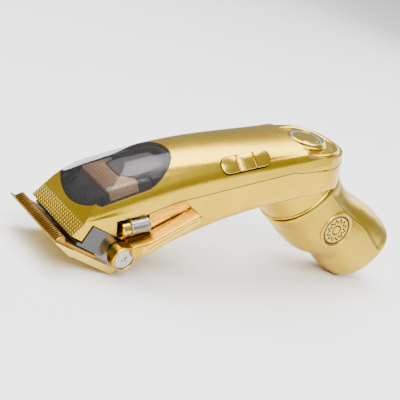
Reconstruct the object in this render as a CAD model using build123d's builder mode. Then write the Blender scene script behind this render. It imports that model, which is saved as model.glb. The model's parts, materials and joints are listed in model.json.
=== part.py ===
"""Cordless hair clipper with a pistol grip, as separate parts in millimetres.

Every part is drawn with the clipper's long body level: x runs to the rear from the
middle of the fixed blade's tooth edge, y to the far side and z up. At export the whole
clipper is stood on its blade heel and the low corner of its grip, with the origin on
the table under the middle of its bounding box.
"""
import os
from math import atan2, cos, degrees, hypot, radians, sin, tan

from build123d import *

os.makedirs("parts", exist_ok=True)

# ------------------------------------------------------------------ driving sizes
WALL = 1.8                    # thickness of the metal shells
SEAM_HEIGHT = 3.9             # where the body is widest and the two shells meet
CROWN_HALF = 14.0             # half width of the gently crowned top
CROWN_ROLL = 4.0              # how far the crown edge's rounding reaches each way
CREASE_ROLL = 2.6             # how far the crease's rounding reaches each way
REACH = 60.0                  # longer than half of any section, for through cuts
FIT = 0.05                    # radial clearance of a shaft in its bearing

# Body sections: x, half width, ridge, crown edge, crease, belly, fullness of the belly
STATIONS = (
    (2.0, 19.4, 19.0, 15.6, 6.4, -20.0, 0.90),
    (36.0, 19.6, 19.2, 16.4, 8.2, -21.5, 0.88),
    (63.0, 19.8, 20.6, 18.0, 11.6, -22.3, 0.78),
    (93.0, 19.8, 19.3, 16.9, 12.0, -22.0, 0.71),
    (132.0, 19.6, 14.9, 13.1, 10.4, -20.5, 0.71),
    (168.0, 19.4, 11.0, 9.6, 7.4, -17.0, 0.71),
)

BLADE_PITCH = 37.0            # the blade plane slopes down to the rear
SEAT = 4.45                   # housing's blade seat above the top of the fixed blade
BLADE_HALF = 23.0             # half of the tooth edge
TEETH_PITCH = 1.5
SCREW_ALONG, SCREW_SIDE = 33.0, 9.0
NOSE_TIP = (8.8, -1.06)       # lower front edge of the nose plate (x, z)
NOSE_TOP = (14.5, 3.16)       # its upper edge

WINDOW_FRONT = 21.5           # x of the window's front corners
WINDOW_BULGE = 4.6            # how far its front edge bows forward of them
WINDOW_REAR = 46.0            # x where the rounded rear end begins
WINDOW_ROUND = 20.0           # length of the rounded rear end
WINDOW_HALF = 17.6
DECK_SCREWS = ((25.2, 12.6), (25.2, -12.6), (54.0, 11.4), (54.0, -11.4))

MOTOR_Z = -1.0                # height of the motor axis
MOTOR_FRONT, MOTOR_LENGTH = 44.0, 32.0
MOTOR_RADIUS = 11.0
SHAFT_RADIUS = 1.15
ECCENTRIC = 0.9               # throw of the eccentric pin

LEVER_X, LEVER_Z = 31.75, -15.05
LEVER_SHAFT = 1.35
CRANK = 2.3                   # from the lever's axis to its crank pin
LEVER_INNER, LEVER_OUTER = 20.4, 28.0
BARREL_RADIUS = 5.8
STEM_Y, STEM_Z = -20.4, -3.4  # detent stem beside the lever

BUTTON_X, BUTTON_Z = 146.5, 8.6
BUTTON_TILT = 12.0
PAD_DROP = 1.2                # the pad lies this far under the button's datum

COLLAR_X, COLLAR_Z = 145.9, -18.8
COLLAR_TILT = 33.0            # the collar's long axis rises to the rear
COLLAR_A, COLLAR_B = 21.4, 17.4
SPIGOT_A, SPIGOT_B = 16.2, 12.4
SPIGOT_LENGTH = 12.0

# Grip sections: depth below the collar, centre offset, half depth, half width, fullness
GRIP_SECTIONS = (
    (0.5, -0.1, 21.6, 17.6, 0.715),
    (15.7, 0.1, 20.6, 17.4, 0.745),
    (28.5, 2.6, 20.8, 17.0, 0.765),
    (41.0, 8.3, 19.6, 16.6, 0.770),
    (52.0, 10.2, 20.3, 16.2, 0.770),
    (62.0, 12.0, 19.6, 15.2, 0.770),
    (67.5, 12.8, 16.4, 12.4, 0.760),
)
GRIP_WALL = 2.2
BADGE_ACROSS, BADGE_BELOW, BADGE_RADIUS = 2.2, 24.3, 9.7
GRIP_POSTS = ((8.0, 37.0), (13.0, 56.0))

ROCKER_X, ROCKER_Y, ROCKER_Z = 99.2, -16.5, 14.5
ROCKER_LENGTH, ROCKER_WIDTH = 27.0, 8.0
FLANK_SLOPE = 43.0            # slope of the flank under the speed rocker

RELEASE_X = 107.0
CELL_FRONT, CELL_LENGTH, CELL_RADIUS, CELL_Z = 82.0, 46.0, 9.0, -6.6
SCREW_POSTS = ((79.0, 12.5), (79.0, -12.5), (116.0, 12.5), (116.0, -12.5))
POST_RADIUS = 2.3

# ------------------------------------------------------------------ working planes
pitch, tilt = radians(BLADE_PITCH), radians(BUTTON_TILT)
lean, flank = radians(COLLAR_TILT), radians(FLANK_SLOPE)
SIDE = Plane(origin=(0, 0, 0), x_dir=(1, 0, 0), z_dir=(0, -1, 0))
BLADE = Plane(origin=(0, 0, 0), x_dir=(cos(pitch), 0, -sin(pitch)), z_dir=(sin(pitch), 0, cos(pitch)))
BLADE_SIDE = Plane(origin=(0, 0, 0), x_dir=BLADE.x_dir, z_dir=(0, -1, 0))
BUTTON = Plane(origin=(BUTTON_X, 0, BUTTON_Z), x_dir=(cos(tilt), 0, -sin(tilt)), z_dir=(sin(tilt), 0, cos(tilt)))
COLLAR = Plane(origin=(COLLAR_X, 0, COLLAR_Z), x_dir=(cos(lean), 0, sin(lean)), z_dir=(sin(lean), 0, -cos(lean)))
COLLAR_SIDE = Plane(origin=COLLAR.origin, x_dir=COLLAR.x_dir, z_dir=(0, 1, 0))
ROCKER = Plane(origin=(ROCKER_X, ROCKER_Y, ROCKER_Z), x_dir=(1, 0, 0), z_dir=(0, -sin(flank), cos(flank)))
MOTOR = Plane(origin=(0, 0, MOTOR_Z), x_dir=(0, 1, 0), z_dir=(1, 0, 0))
CELL = Plane(origin=(CELL_FRONT, 0, CELL_Z), x_dir=(0, 1, 0), z_dir=(1, 0, 0))
STEM = Plane(origin=(0, STEM_Y, STEM_Z), x_dir=(0, 1, 0), z_dir=(1, 0, 0))


def blade_point(along, above):
    """Return the (x, z) of a point given along and above the blade plane."""
    return (along * cos(pitch) + above * sin(pitch), above * cos(pitch) - along * sin(pitch))


def collar_point(across, below):
    """Return the (x, z) of a point given across the collar and below it."""
    return (COLLAR_X + across * cos(lean) + below * sin(lean),
            COLLAR_Z + across * sin(lean) - below * cos(lean))


def button_point(along, above):
    """Return the (x, z) of a point along and above the power button's datum."""
    return (BUTTON_X + along * cos(tilt) + above * sin(tilt),
            BUTTON_Z + above * cos(tilt) - along * sin(tilt))


# ------------------------------------------------------------------ body form
def body_form(inset, with_neck=True):
    """Solid of the body and its neck, inset from the outer surface."""
    with BuildPart() as form:
        for x, half, ridge, crown, crease, belly, full in STATIONS:
            wide = half - inset
            deep = SEAM_HEIGHT - belly - inset
            edge = (CROWN_HALF - 0.45 * inset, crown - inset)
            crest = (half - 0.6 - 0.95 * inset, crease - 0.45 * inset)
            corner = (wide * full, SEAM_HEIGHT - deep * full)
            slope = atan2(edge[1] - crest[1], crest[0] - edge[0])
            roll = min(CREASE_ROLL, 0.45 * (crest[1] - SEAM_HEIGHT)) - 0.2 * inset
            upper = (crest[0] - roll * cos(slope), crest[1] + roll * sin(slope))
            lower = (crest[0] + 0.1 * roll, crest[1] - roll)
            bend = (crest[0] - 0.21 * roll * cos(slope), crest[1] - 0.21 * roll * (1 - sin(slope)))
            fall = 2 * (ridge - crown) / CROWN_HALF
            turn = min(CROWN_ROLL, 0.42 * hypot(crest[0] - edge[0], edge[1] - crest[1]))
            shoulder = (edge[0] - turn * cos(fall), edge[1] + turn * sin(fall))
            drop = (edge[0] + turn * cos(slope), edge[1] - turn * sin(slope))
            dip = turn * (1 / cos((slope - fall) / 2) - 1) / tan((slope - fall) / 2)
            dome = (edge[0] - dip * sin((slope + fall) / 2), edge[1] - dip * cos((slope + fall) / 2))
            with BuildSketch(Plane(origin=(x, 0, 0), x_dir=(0, 1, 0), z_dir=(1, 0, 0))):
                with BuildLine():
                    Spline((wide, SEAM_HEIGHT), corner, (0, SEAM_HEIGHT - deep),
                           (-corner[0], corner[1]), (-wide, SEAM_HEIGHT),
                           tangents=[(0, -1), (0, 1)])
                    if inset > WALL:
                        ThreePointArc((-edge[0], edge[1]), (0, ridge - inset), edge)
                        Line(edge, crest)
                        Line(crest, (wide, SEAM_HEIGHT))
                        Line((-wide, SEAM_HEIGHT), (-crest[0], crest[1]))
                        Line((-crest[0], crest[1]), (-edge[0], edge[1]))
                    else:
                        ThreePointArc((-shoulder[0], shoulder[1]), (0, ridge - inset), shoulder)
                        ThreePointArc(shoulder, dome, drop)
                        Line(drop, upper)
                        ThreePointArc(upper, bend, lower)
                        Line(lower, (wide, SEAM_HEIGHT))
                        Line((-wide, SEAM_HEIGHT), (-lower[0], lower[1]))
                        ThreePointArc((-lower[0], lower[1]), (-bend[0], bend[1]), (-upper[0], upper[1]))
                        Line((-upper[0], upper[1]), (-drop[0], drop[1]))
                        ThreePointArc((-drop[0], drop[1]), (-dome[0], dome[1]),
                                      (-shoulder[0], shoulder[1]))
                make_face()
        loft()
        if with_neck:
            with BuildSketch(COLLAR.offset(-26)):
                Ellipse(COLLAR_A - inset, COLLAR_B - inset)
            extrude(amount=40)
        with BuildSketch(SIDE):
            with BuildLine():
                Polyline(NOSE_TIP, NOSE_TOP, (21.0, 10.0))
                ThreePointArc((21.0, 10.0), (28.0, 14.9), (37.5, 18.3))
                Polyline((37.5, 18.3), (48.0, 21.0), (48.0, 30.0), (132.0, 30.0), (132.0, 15.5),
                         (134.5, 13.6), button_point(-11.4, -PAD_DROP),
                         button_point(17.0, -PAD_DROP), (165.6, 2.6), collar_point(22.2, 0),
                         collar_point(-24.0, 0), (40.0, -32.0), blade_point(44.0, SEAT), NOSE_TIP)
            make_face()
            offset(amount=-inset, kind=Kind.INTERSECTION)
        extrude(amount=REACH, both=True, mode=Mode.INTERSECT)
        with BuildSketch(Plane.XY.offset(-REACH)):
            with Locations((66.0, 0)):
                Rectangle(155.0, 50.0)
            with Locations((143.5, 0)):
                Ellipse(22.0 - inset, 19.9 - inset)
        extrude(amount=2 * REACH, mode=Mode.INTERSECT)
    return form.part


def window_prism(inset):
    """Upright prism over the window's outline, drawn inside it by inset."""
    front = WINDOW_FRONT + inset
    rear = WINDOW_REAR
    half = WINDOW_HALF - inset
    with BuildPart() as prism:
        with BuildSketch(Plane.XY.offset(1.0)):
            with BuildLine():
                ThreePointArc((front, -half), (front - WINDOW_BULGE, 0), (front, half))
                Line((front, half), (rear, half))
                EllipticalCenterArc((rear, 0), WINDOW_ROUND - inset, half, -90, arc_size=180)
                Line((rear, -half), (front, -half))
            make_face()
        extrude(amount=30)
        fillet(prism.edges().filter_by(Axis.Z).group_by(Axis.X)[0], radius=5.0)
    return prism.part


outer_form = body_form(0)
inner_form = body_form(WALL)
hollow_form = outer_form - inner_form

with BuildPart() as above_seam:
    with BuildSketch(SIDE):
        with BuildLine():
            Polyline((-20, 0.6), (17.9, 0.6), (25, -3.1), (34.5, -1.9), (50, 1.5), (61.4, 3.5),
                     (92.8, 3.9), (127, 4.1), (131, 2.9), (150, 0.6), (175, -0.9), (175, 60),
                     (-20, 60), (-20, 0.6))
        make_face()
    extrude(amount=REACH, both=True)

with BuildPart() as nose_zone:
    with BuildSketch(SIDE):
        with BuildLine():
            Polyline((7.0, -3.5), (12.0, 4.8), NOSE_TOP, (15.2, 2.3), (9.7, -1.9), (7.0, -3.5))
        make_face()
    extrude(amount=REACH, both=True)

# The slide's ears and its arm run in a recess on each side of the nose
with BuildPart() as ear_recess:
    with BuildSketch(BLADE_SIDE.offset(16.8)):
        with BuildLine():
            Polyline((14.1, 0), (14.1, 13.1), (39.5, 13.1), (39.5, 0), (14.1, 0))
        make_face()
    extrude(amount=10)
    mirror(about=Plane.XZ)

with BuildPart() as lever_bore:
    with BuildSketch(SIDE.offset(11.9)):
        with Locations((LEVER_X, LEVER_Z)):
            Circle(3.05)
    extrude(amount=12)

with BuildPart() as stem_recess:
    with BuildSketch(STEM.offset(31.0)):
        Circle(4.3)
    extrude(amount=16.4)

with BuildPart() as rocker_slot:
    with BuildSketch(ROCKER.offset(-6)):
        SlotOverall(ROCKER_LENGTH + 1.0, ROCKER_WIDTH + 1.0)
    extrude(amount=12)

with BuildPart() as button_well:
    with BuildSketch(BUTTON.offset(-8)):
        Circle(8.5)
    extrude(amount=16)

window_cut = window_prism(0)

# ------------------------------------------------------------------ shells
with BuildPart() as upper_shell:
    add(hollow_form)
    with BuildSketch(Plane.XY.offset(SEAM_HEIGHT + 0.4)):
        with Locations(*SCREW_POSTS):
            Circle(POST_RADIUS)
    extrude(amount=20.0)
    add(outer_form, mode=Mode.INTERSECT)
    add(above_seam.part, mode=Mode.INTERSECT)
    with BuildSketch(Plane.XY.offset(SEAM_HEIGHT)):
        with Locations(*SCREW_POSTS):
            Circle(SHAFT_RADIUS)
    extrude(amount=5.4, mode=Mode.SUBTRACT)
    for tool in (window_cut, nose_zone, ear_recess, stem_recess, rocker_slot, button_well):
        add(tool if isinstance(tool, Part) else tool.part, mode=Mode.SUBTRACT)

with BuildPart() as lower_shell:
    add(hollow_form)
    with BuildSketch(Plane.XY.offset(-30.0)):
        with Locations(*SCREW_POSTS):
            Circle(POST_RADIUS)
    extrude(amount=30.0 + SEAM_HEIGHT - 0.4)
    add(outer_form, mode=Mode.INTERSECT)
    add(above_seam.part, mode=Mode.SUBTRACT)
    with BuildSketch(Plane.XY.offset(-30.0)):
        with Locations(*SCREW_POSTS):
            Circle(1.9)
    extrude(amount=19.0, mode=Mode.SUBTRACT)
    with BuildSketch(Plane.XY.offset(-13.0)):
        with Locations(*SCREW_POSTS):
            Circle(SHAFT_RADIUS)
    extrude(amount=20, mode=Mode.SUBTRACT)
    with BuildSketch(COLLAR.offset(-0.6)):
        Ellipse(SPIGOT_A, SPIGOT_B)
        Ellipse(SPIGOT_A - WALL, SPIGOT_B - WALL, mode=Mode.SUBTRACT)
    extrude(amount=SPIGOT_LENGTH + 0.6)
    with BuildSketch(COLLAR.offset(-4)):
        Circle(5.0)
    extrude(amount=6, mode=Mode.SUBTRACT)
    with BuildSketch(BLADE.offset(2)):
        with Locations((22.0, 0)):
            Rectangle(6.4, 16.0)
    extrude(amount=6, mode=Mode.SUBTRACT)
    with BuildSketch(Plane.XY.offset(-30)):
        with Locations((RELEASE_X, 0)):
            Circle(3.2)
    extrude(amount=12, mode=Mode.SUBTRACT)
    with BuildSketch(Plane.XY.offset(-20.2)):
        with Locations((RELEASE_X, 0)):
            Circle(4.4)
    extrude(amount=4, mode=Mode.SUBTRACT)
    with BuildSketch(SIDE.offset(11.0)):
        with Locations((LEVER_X, LEVER_Z)):
            Circle(3.0 + FIT)
    extrude(amount=5.6, mode=Mode.SUBTRACT)
    for tool in (nose_zone, ear_recess, lever_bore, stem_recess):
        add(tool.part, mode=Mode.SUBTRACT)

with BuildPart() as nose_plate:
    add(outer_form)
    add(nose_zone.part, mode=Mode.INTERSECT)

with BuildPart() as housing_screws:
    with BuildSketch(Plane.XY.offset(-12.2)):
        with Locations(*SCREW_POSTS):
            Circle(1.8)
    extrude(amount=1.2)
    with BuildSketch(Plane.XY.offset(-11.0)):
        with Locations(*SCREW_POSTS):
            Circle(SHAFT_RADIUS - FIT)
    extrude(amount=19.0)

# ------------------------------------------------------------------ window and deck
layers = {inset: body_form(inset, with_neck=False) for inset in (2.7, 3.2, 3.8, 4.6, 5.8)}

with BuildPart() as window_lens:
    add(outer_form)
    add(inner_form, mode=Mode.SUBTRACT)
    add(window_prism(0.12), mode=Mode.INTERSECT)

with BuildPart() as window_gasket:
    add(inner_form)
    add(layers[2.7], mode=Mode.SUBTRACT)
    add(window_prism(0.3), mode=Mode.INTERSECT)
    add(window_prism(1.6), mode=Mode.SUBTRACT)

with BuildPart() as motor_deck:
    add(layers[4.6])
    add(layers[5.8], mode=Mode.SUBTRACT)
    add(window_prism(2.2), mode=Mode.INTERSECT)
    with BuildSketch(Plane.XY):
        with Locations(*DECK_SCREWS):
            Circle(1.6)
    extrude(amount=30, mode=Mode.SUBTRACT)

with BuildPart() as deck_screws:
    add(layers[3.8])
    add(layers[5.8], mode=Mode.SUBTRACT)
    with BuildSketch(Plane.XY):
        with Locations(*DECK_SCREWS):
            Circle(1.55)
    extrude(amount=30, mode=Mode.INTERSECT)
    with BuildPart(mode=Mode.PRIVATE) as heads:
        add(layers[3.8])
        add(layers[4.6], mode=Mode.SUBTRACT)
        with BuildSketch(Plane.XY):
            with Locations(*DECK_SCREWS):
                Circle(2.5)
        extrude(amount=30, mode=Mode.INTERSECT)
    add(heads.part)

with BuildPart() as copper_strap:
    add(layers[3.2])
    add(layers[4.6], mode=Mode.SUBTRACT)
    with BuildSketch(Plane.XY):
        with Locations((34.0, 0)):
            Rectangle(8.0, 29.0)
        for side in (1, -1):
            with BuildLine():
                Polyline((38.0, 14.5 * side), (38.0, 6.5 * side), (44.0, 10.5 * side),
                         (44.0, 14.5 * side), (38.0, 14.5 * side))
            make_face()
    extrude(amount=30, mode=Mode.INTERSECT)

with BuildPart() as sensor_guard:
    add(layers[3.8])
    add(layers[4.6], mode=Mode.SUBTRACT)
    with BuildSketch(Plane.XY):
        with BuildLine():
            Polyline((39.0, -5.4), (45.0, -8.6), (60.5, -6.5), (60.5, 6.5), (45.0, 8.6),
                     (39.0, 5.4), (39.0, -5.4))
        make_face()
    extrude(amount=30, mode=Mode.INTERSECT)

# ------------------------------------------------------------------ blade end
with BuildPart() as fixed_blade:
    with BuildSketch(BLADE_SIDE):
        with BuildLine():
            Polyline((0, 0), (38.0, 0), (38.0, -3.0), (11.0, -3.2), (0, -0.7), (0, 0))
        make_face()
    extrude(amount=BLADE_HALF, both=True)
    with BuildSketch(BLADE.offset(-4)):
        with Locations((31.0, BLADE_HALF + 1.6), (31.0, -BLADE_HALF - 1.6)):
            Rectangle(40.0, 6.2)
        with GridLocations(0, TEETH_PITCH, 1, 30):
            Rectangle(9.0, 0.62)
        with Locations((SCREW_ALONG, SCREW_SIDE), (SCREW_ALONG, -SCREW_SIDE)):
            Circle(1.55)
    extrude(amount=6, mode=Mode.SUBTRACT)
    with BuildSketch(BLADE.offset(-4)):
        with Locations((SCREW_ALONG, SCREW_SIDE), (SCREW_ALONG, -SCREW_SIDE)):
            Circle(3.1)
    extrude(amount=2.4, mode=Mode.SUBTRACT)

with BuildPart() as blade_screws:
    with BuildSketch(BLADE.offset(-2.9)):
        with Locations((SCREW_ALONG, SCREW_SIDE), (SCREW_ALONG, -SCREW_SIDE)):
            Circle(3.0)
    extrude(amount=1.3)
    with BuildSketch(BLADE.offset(-1.6)):
        with Locations((SCREW_ALONG, SCREW_SIDE), (SCREW_ALONG, -SCREW_SIDE)):
            Circle(1.5)
    extrude(amount=5.2)

with BuildPart() as blade_bracket:
    with BuildSketch(BLADE):
        with Locations((32.5, 0)):
            Rectangle(11.0, 33.2)
    extrude(amount=SEAT - 0.05)
    with BuildSketch(BLADE):
        with Locations((SCREW_ALONG, SCREW_SIDE), (SCREW_ALONG, -SCREW_SIDE)):
            Circle(1.55)
    extrude(amount=3.7, mode=Mode.SUBTRACT)
    add(lever_bore.part, mode=Mode.SUBTRACT)

with BuildPart() as moving_blade:
    with BuildSketch(BLADE_SIDE):
        with BuildLine():
            Polyline((1.0, 0.02), (1.0, 0.5), (2.9, 3.1), (4.4, 3.1), (5.6, 1.6), (25.0, 1.6),
                     (25.0, 0.02), (1.0, 0.02))
        make_face()
    extrude(amount=20.5, both=True)
    with BuildSketch(BLADE.offset(-1)):
        with GridLocations(0, TEETH_PITCH, 1, 27):
            Rectangle(7.6, 0.72)
    extrude(amount=6, mode=Mode.SUBTRACT)

with BuildPart() as drive_yoke:
    with BuildSketch(BLADE.offset(1.6)):
        with Locations((21.6, 0)):
            Rectangle(5.0, 8.0)
    extrude(amount=1.0)
    with BuildSketch(BLADE.offset(2.6)):
        with Locations((21.0, 0)):
            Rectangle(2.0, 11.2)
    extrude(amount=15.4)
    with BuildSketch(BLADE.offset(10.0)):
        with Locations((21.0, 0)):
            Rectangle(3.0, 7.2)
    extrude(amount=12, mode=Mode.SUBTRACT)

with BuildPart() as blade_carriage:
    with BuildSketch(BLADE.offset(2.1)):
        with Locations((18.25, 0)):
            Rectangle(12.5, 40.2)
    extrude(amount=1.5)
    with BuildSketch(BLADE.offset(2.1)):
        with Locations((21.25, 18.6), (21.25, -18.6)):
            Rectangle(13.5, 3.0)
    extrude(amount=10.7)
    with BuildSketch(BLADE_SIDE.offset(17.1)):
        with BuildLine():
            Polyline((27.0, 8.95), (37.0, 8.95), (37.0, 11.8), (27.0, 11.8), (27.0, 8.95))
        make_face()
    extrude(amount=3.0)
    with BuildSketch(BLADE_SIDE.offset(16.0)):
        with Locations((34.4, 9.0)):
            Rectangle(2.2, 3.6)
    extrude(amount=5.0, mode=Mode.SUBTRACT)
    with BuildSketch(BLADE):
        with Locations((22.5, 0)):
            Rectangle(9.0, 14.4)
        with Locations((20.0, 9.5), (20.0, -9.5)):
            Rectangle(14.2, 3.0)
    extrude(amount=6, mode=Mode.SUBTRACT)

with BuildPart() as tension_spring:
    with BuildSketch(BLADE_SIDE):
        with BuildLine():
            Polyline((27.0, 2.9), (27.0, 3.3), (16.0, 2.25), (15.0, 2.6), (14.8, 2.2),
                     (16.0, 1.85), (27.0, 2.9))
        make_face()
    extrude(amount=REACH, both=True)
    with BuildSketch(BLADE):
        with Locations((21.0, 9.5), (21.0, -9.5)):
            Rectangle(14.0, 2.2)
    extrude(amount=6, mode=Mode.INTERSECT)

with BuildPart() as chassis:
    with BuildSketch(BLADE_SIDE.offset(12.0)):
        with BuildLine():
            Polyline((16.0, 5.0), (16.0, 13.0), (44.0, 14.0), (44.0, 5.0), (16.0, 5.0))
        make_face()
    extrude(amount=4.5)
    mirror(about=Plane.XZ)
    with BuildSketch(BLADE.offset(8.2)):
        with Locations((38.5, 0)):
            Rectangle(3.0, 30.0)
    extrude(amount=3.0)
    add(inner_form, mode=Mode.INTERSECT)
    with BuildSketch(SIDE.offset(12.0)):
        with Locations((LEVER_X, LEVER_Z)):
            Circle(3.0)
    extrude(amount=4.5)
    with BuildSketch(SIDE.offset(11.0)):
        with Locations((LEVER_X, LEVER_Z)):
            Circle(LEVER_SHAFT + FIT)
    extrude(amount=8, mode=Mode.SUBTRACT)

# ------------------------------------------------------------------ taper lever
with BuildPart() as taper_lever:
    with BuildSketch(SIDE.offset(LEVER_INNER)):
        with BuildLine():
            Polyline((34.5, -8.9), (43.4, -8.6), (69.2, -0.7), (70.2, -1.6), (70.2, -4.0),
                     (69.2, -5.4), (43.8, -14.7), (35.0, -15.0), (34.5, -8.9))
        make_face()
        with Locations((LEVER_X, LEVER_Z)):
            Circle(BARREL_RADIUS)
    extrude(amount=LEVER_OUTER - LEVER_INNER)
    with BuildSketch(SIDE.offset(26.6)):
        with Locations((LEVER_X, LEVER_Z)):
            Circle(BARREL_RADIUS + 0.01)
    extrude(amount=3, mode=Mode.SUBTRACT)
    with BuildSketch(SIDE.offset(24.6)):
        with Locations((LEVER_X, LEVER_Z)):
            Circle(4.75)
    extrude(amount=4, mode=Mode.SUBTRACT)
    with BuildSketch(SIDE.offset(20)):
        with Locations((LEVER_X, LEVER_Z)):
            Circle(LEVER_SHAFT)
    extrude(amount=4.6, mode=Mode.SUBTRACT)
    with BuildSketch(SIDE.offset(17.4)):
        with Locations(blade_point(34.4, 7.09 + CRANK)):
            Circle(0.9)
    extrude(amount=LEVER_INNER - 17.4)

with BuildPart() as lever_shaft:
    with BuildSketch(SIDE.offset(12.2)):
        with Locations((LEVER_X, LEVER_Z)):
            Circle(LEVER_SHAFT)
    extrude(amount=12.4)

with BuildPart() as lever_screw:
    with BuildSketch(SIDE.offset(24.6)):
        with Locations((LEVER_X, LEVER_Z)):
            Circle(4.66)
    extrude(amount=1.5)
    with BuildSketch(SIDE.offset(25.3)):
        with Locations((LEVER_X, LEVER_Z)):
            Rectangle(3.4, 0.8, rotation=30)
            Rectangle(0.8, 3.4, rotation=30)
    extrude(amount=2, mode=Mode.SUBTRACT)

with BuildPart() as detent_stem:
    with BuildSketch(STEM.offset(32.6)):
        Circle(3.1)
    extrude(amount=4.2)
    with BuildSketch(STEM.offset(36.8)):
        Circle(1.5)
    extrude(amount=10.4)

with BuildPart() as detent_sleeve:
    with BuildSketch(STEM.offset(36.8)):
        Circle(3.7)
        with PolarLocations(3.7, 12):
            Circle(0.45, mode=Mode.SUBTRACT)
        Circle(1.5, mode=Mode.SUBTRACT)
    extrude(amount=9.4)

# ------------------------------------------------------------------ motor
with BuildPart() as motor_can:
    with BuildSketch(MOTOR.offset(MOTOR_FRONT)):
        Circle(MOTOR_RADIUS)
    extrude(amount=MOTOR_LENGTH)
    with BuildSketch(MOTOR.offset(MOTOR_FRONT + 2)):
        Circle(MOTOR_RADIUS - 1.4)
    extrude(amount=MOTOR_LENGTH - 4, mode=Mode.SUBTRACT)
    with BuildSketch(MOTOR.offset(MOTOR_FRONT - 1)):
        Circle(3.6)
    extrude(amount=MOTOR_LENGTH + 2, mode=Mode.SUBTRACT)

with BuildPart() as motor_coil:
    with BuildSketch(MOTOR.offset(MOTOR_FRONT + 4)):
        Circle(MOTOR_RADIUS - 1.4)
        Circle(7.2, mode=Mode.SUBTRACT)
        with PolarLocations(7.2, 6):
            Rectangle(2.4, 1.6, mode=Mode.SUBTRACT)
    extrude(amount=MOTOR_LENGTH - 8)

with BuildPart() as front_bearing:
    with BuildSketch(MOTOR.offset(MOTOR_FRONT)):
        Circle(3.6)
        Circle(SHAFT_RADIUS + FIT, mode=Mode.SUBTRACT)
    extrude(amount=2.4)

with BuildPart() as rear_bearing:
    with BuildSketch(MOTOR.offset(MOTOR_FRONT + MOTOR_LENGTH - 2.4)):
        Circle(3.6)
        Circle(SHAFT_RADIUS + FIT, mode=Mode.SUBTRACT)
    extrude(amount=2.4)

with BuildPart() as rotor_shaft:
    with BuildSketch(MOTOR.offset(38.2)):
        Circle(SHAFT_RADIUS)
    extrude(amount=38.8)

with BuildPart() as rotor_magnet:
    with BuildSketch(MOTOR.offset(MOTOR_FRONT + 6)):
        Circle(6.4)
        Circle(SHAFT_RADIUS, mode=Mode.SUBTRACT)
    extrude(amount=20)

with BuildPart() as eccentric_hub:
    with BuildSketch(MOTOR.offset(33)):
        Circle(5.4)
    extrude(amount=8)
    with BuildSketch(MOTOR.offset(33)):
        with Locations((0, -5.4)):
            Rectangle(10.8, 5.0)
    extrude(amount=3.5, mode=Mode.SUBTRACT)
    with BuildSketch(MOTOR.offset(38.2)):
        Circle(SHAFT_RADIUS)
    extrude(amount=4, mode=Mode.SUBTRACT)
    with BuildSketch(MOTOR.offset(23.2)):
        with Locations((0, ECCENTRIC)):
            Circle(1.2)
    extrude(amount=9.8)

# ------------------------------------------------------------------ power and controls
with BuildPart() as battery_cell:
    with BuildSketch(CELL):
        Circle(CELL_RADIUS)
    extrude(amount=CELL_LENGTH)
    with BuildSketch(CELL.offset(CELL_LENGTH)):
        Circle(2.8)
    extrude(amount=1.6)

with BuildPart() as main_board:
    with BuildSketch(Plane.XY.offset(5.0)):
        with Locations((105, 0)):
            Rectangle(46, 19.0)
    extrude(amount=1.4)
    with BuildSketch(Plane.XY.offset(6.4)):
        with Locations((92, 3)):
            Rectangle(7, 7)
        with Locations((105, -5), (105, 4)):
            Rectangle(4, 3)
        with Locations((118, 0)):
            Circle(3)
    extrude(amount=1.6)

with BuildPart() as switch_body:
    with BuildSketch(BUTTON.offset(-6.3)):
        Rectangle(8.0, 8.0)
    extrude(amount=3.0)
    with BuildSketch(BUTTON.offset(-3.3)):
        Circle(1.8)
    extrude(amount=0.2)

with BuildPart() as switch_board:
    with BuildSketch(BUTTON.offset(-7.6)):
        Rectangle(18.0, 18.0)
    extrude(amount=1.3)

with BuildPart() as button_bezel:
    with BuildSketch(BUTTON.offset(-PAD_DROP)):
        Circle(10.3)
        Circle(8.6, mode=Mode.SUBTRACT)
    extrude(amount=PAD_DROP + 1.4)

with BuildPart() as ring_light:
    with BuildSketch(BUTTON.offset(-2.6)):
        Circle(8.45)
        Circle(6.9, mode=Mode.SUBTRACT)
    extrude(amount=3.5)

with BuildPart() as power_button:
    with BuildSketch(BUTTON.offset(-1.4)):
        Circle(6.6)
    extrude(amount=2.5)
    with BuildSketch(BUTTON.offset(-2.2)):
        Circle(1.5)
    extrude(amount=0.8)

with BuildPart() as charge_socket:
    with BuildSketch(COLLAR.offset(-6)):
        Circle(4.95)
    extrude(amount=7.5)
    with BuildSketch(COLLAR.offset(-4.5)):
        SlotOverall(7.4, 2.6)
    extrude(amount=8, mode=Mode.SUBTRACT)

with BuildPart() as speed_rocker:
    with BuildSketch(ROCKER.offset(-2.2)):
        SlotOverall(ROCKER_LENGTH, ROCKER_WIDTH)
    extrude(amount=2.9)
    with BuildSketch(ROCKER.offset(0.2)):
        with Locations((-4.5, 0), (4.5, 0)):
            Rectangle(0.7, ROCKER_WIDTH + 1)
    extrude(amount=2, mode=Mode.SUBTRACT)
    with BuildSketch(Plane(origin=ROCKER.origin, x_dir=ROCKER.x_dir, z_dir=ROCKER.y_dir).offset(-2)):
        with Locations((0, 3.2)):
            Circle(1.8)
            Circle(1.0 + FIT, mode=Mode.SUBTRACT)
    extrude(amount=4)

with BuildPart() as rocker_pin:
    with BuildSketch(Plane(origin=ROCKER.origin, x_dir=ROCKER.x_dir, z_dir=ROCKER.y_dir).offset(-3.8)):
        with Locations((0, 3.2)):
            Circle(1.0)
    extrude(amount=7.6)

with BuildPart() as release_button:
    with BuildSketch(Plane.XY.offset(-24.0)):
        with Locations((RELEASE_X, 0)):
            Circle(2.9)
    extrude(amount=4.4)
    with BuildSketch(Plane.XY.offset(-19.9)):
        with Locations((RELEASE_X, 0)):
            Circle(4.0)
    extrude(amount=0.8)

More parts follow.
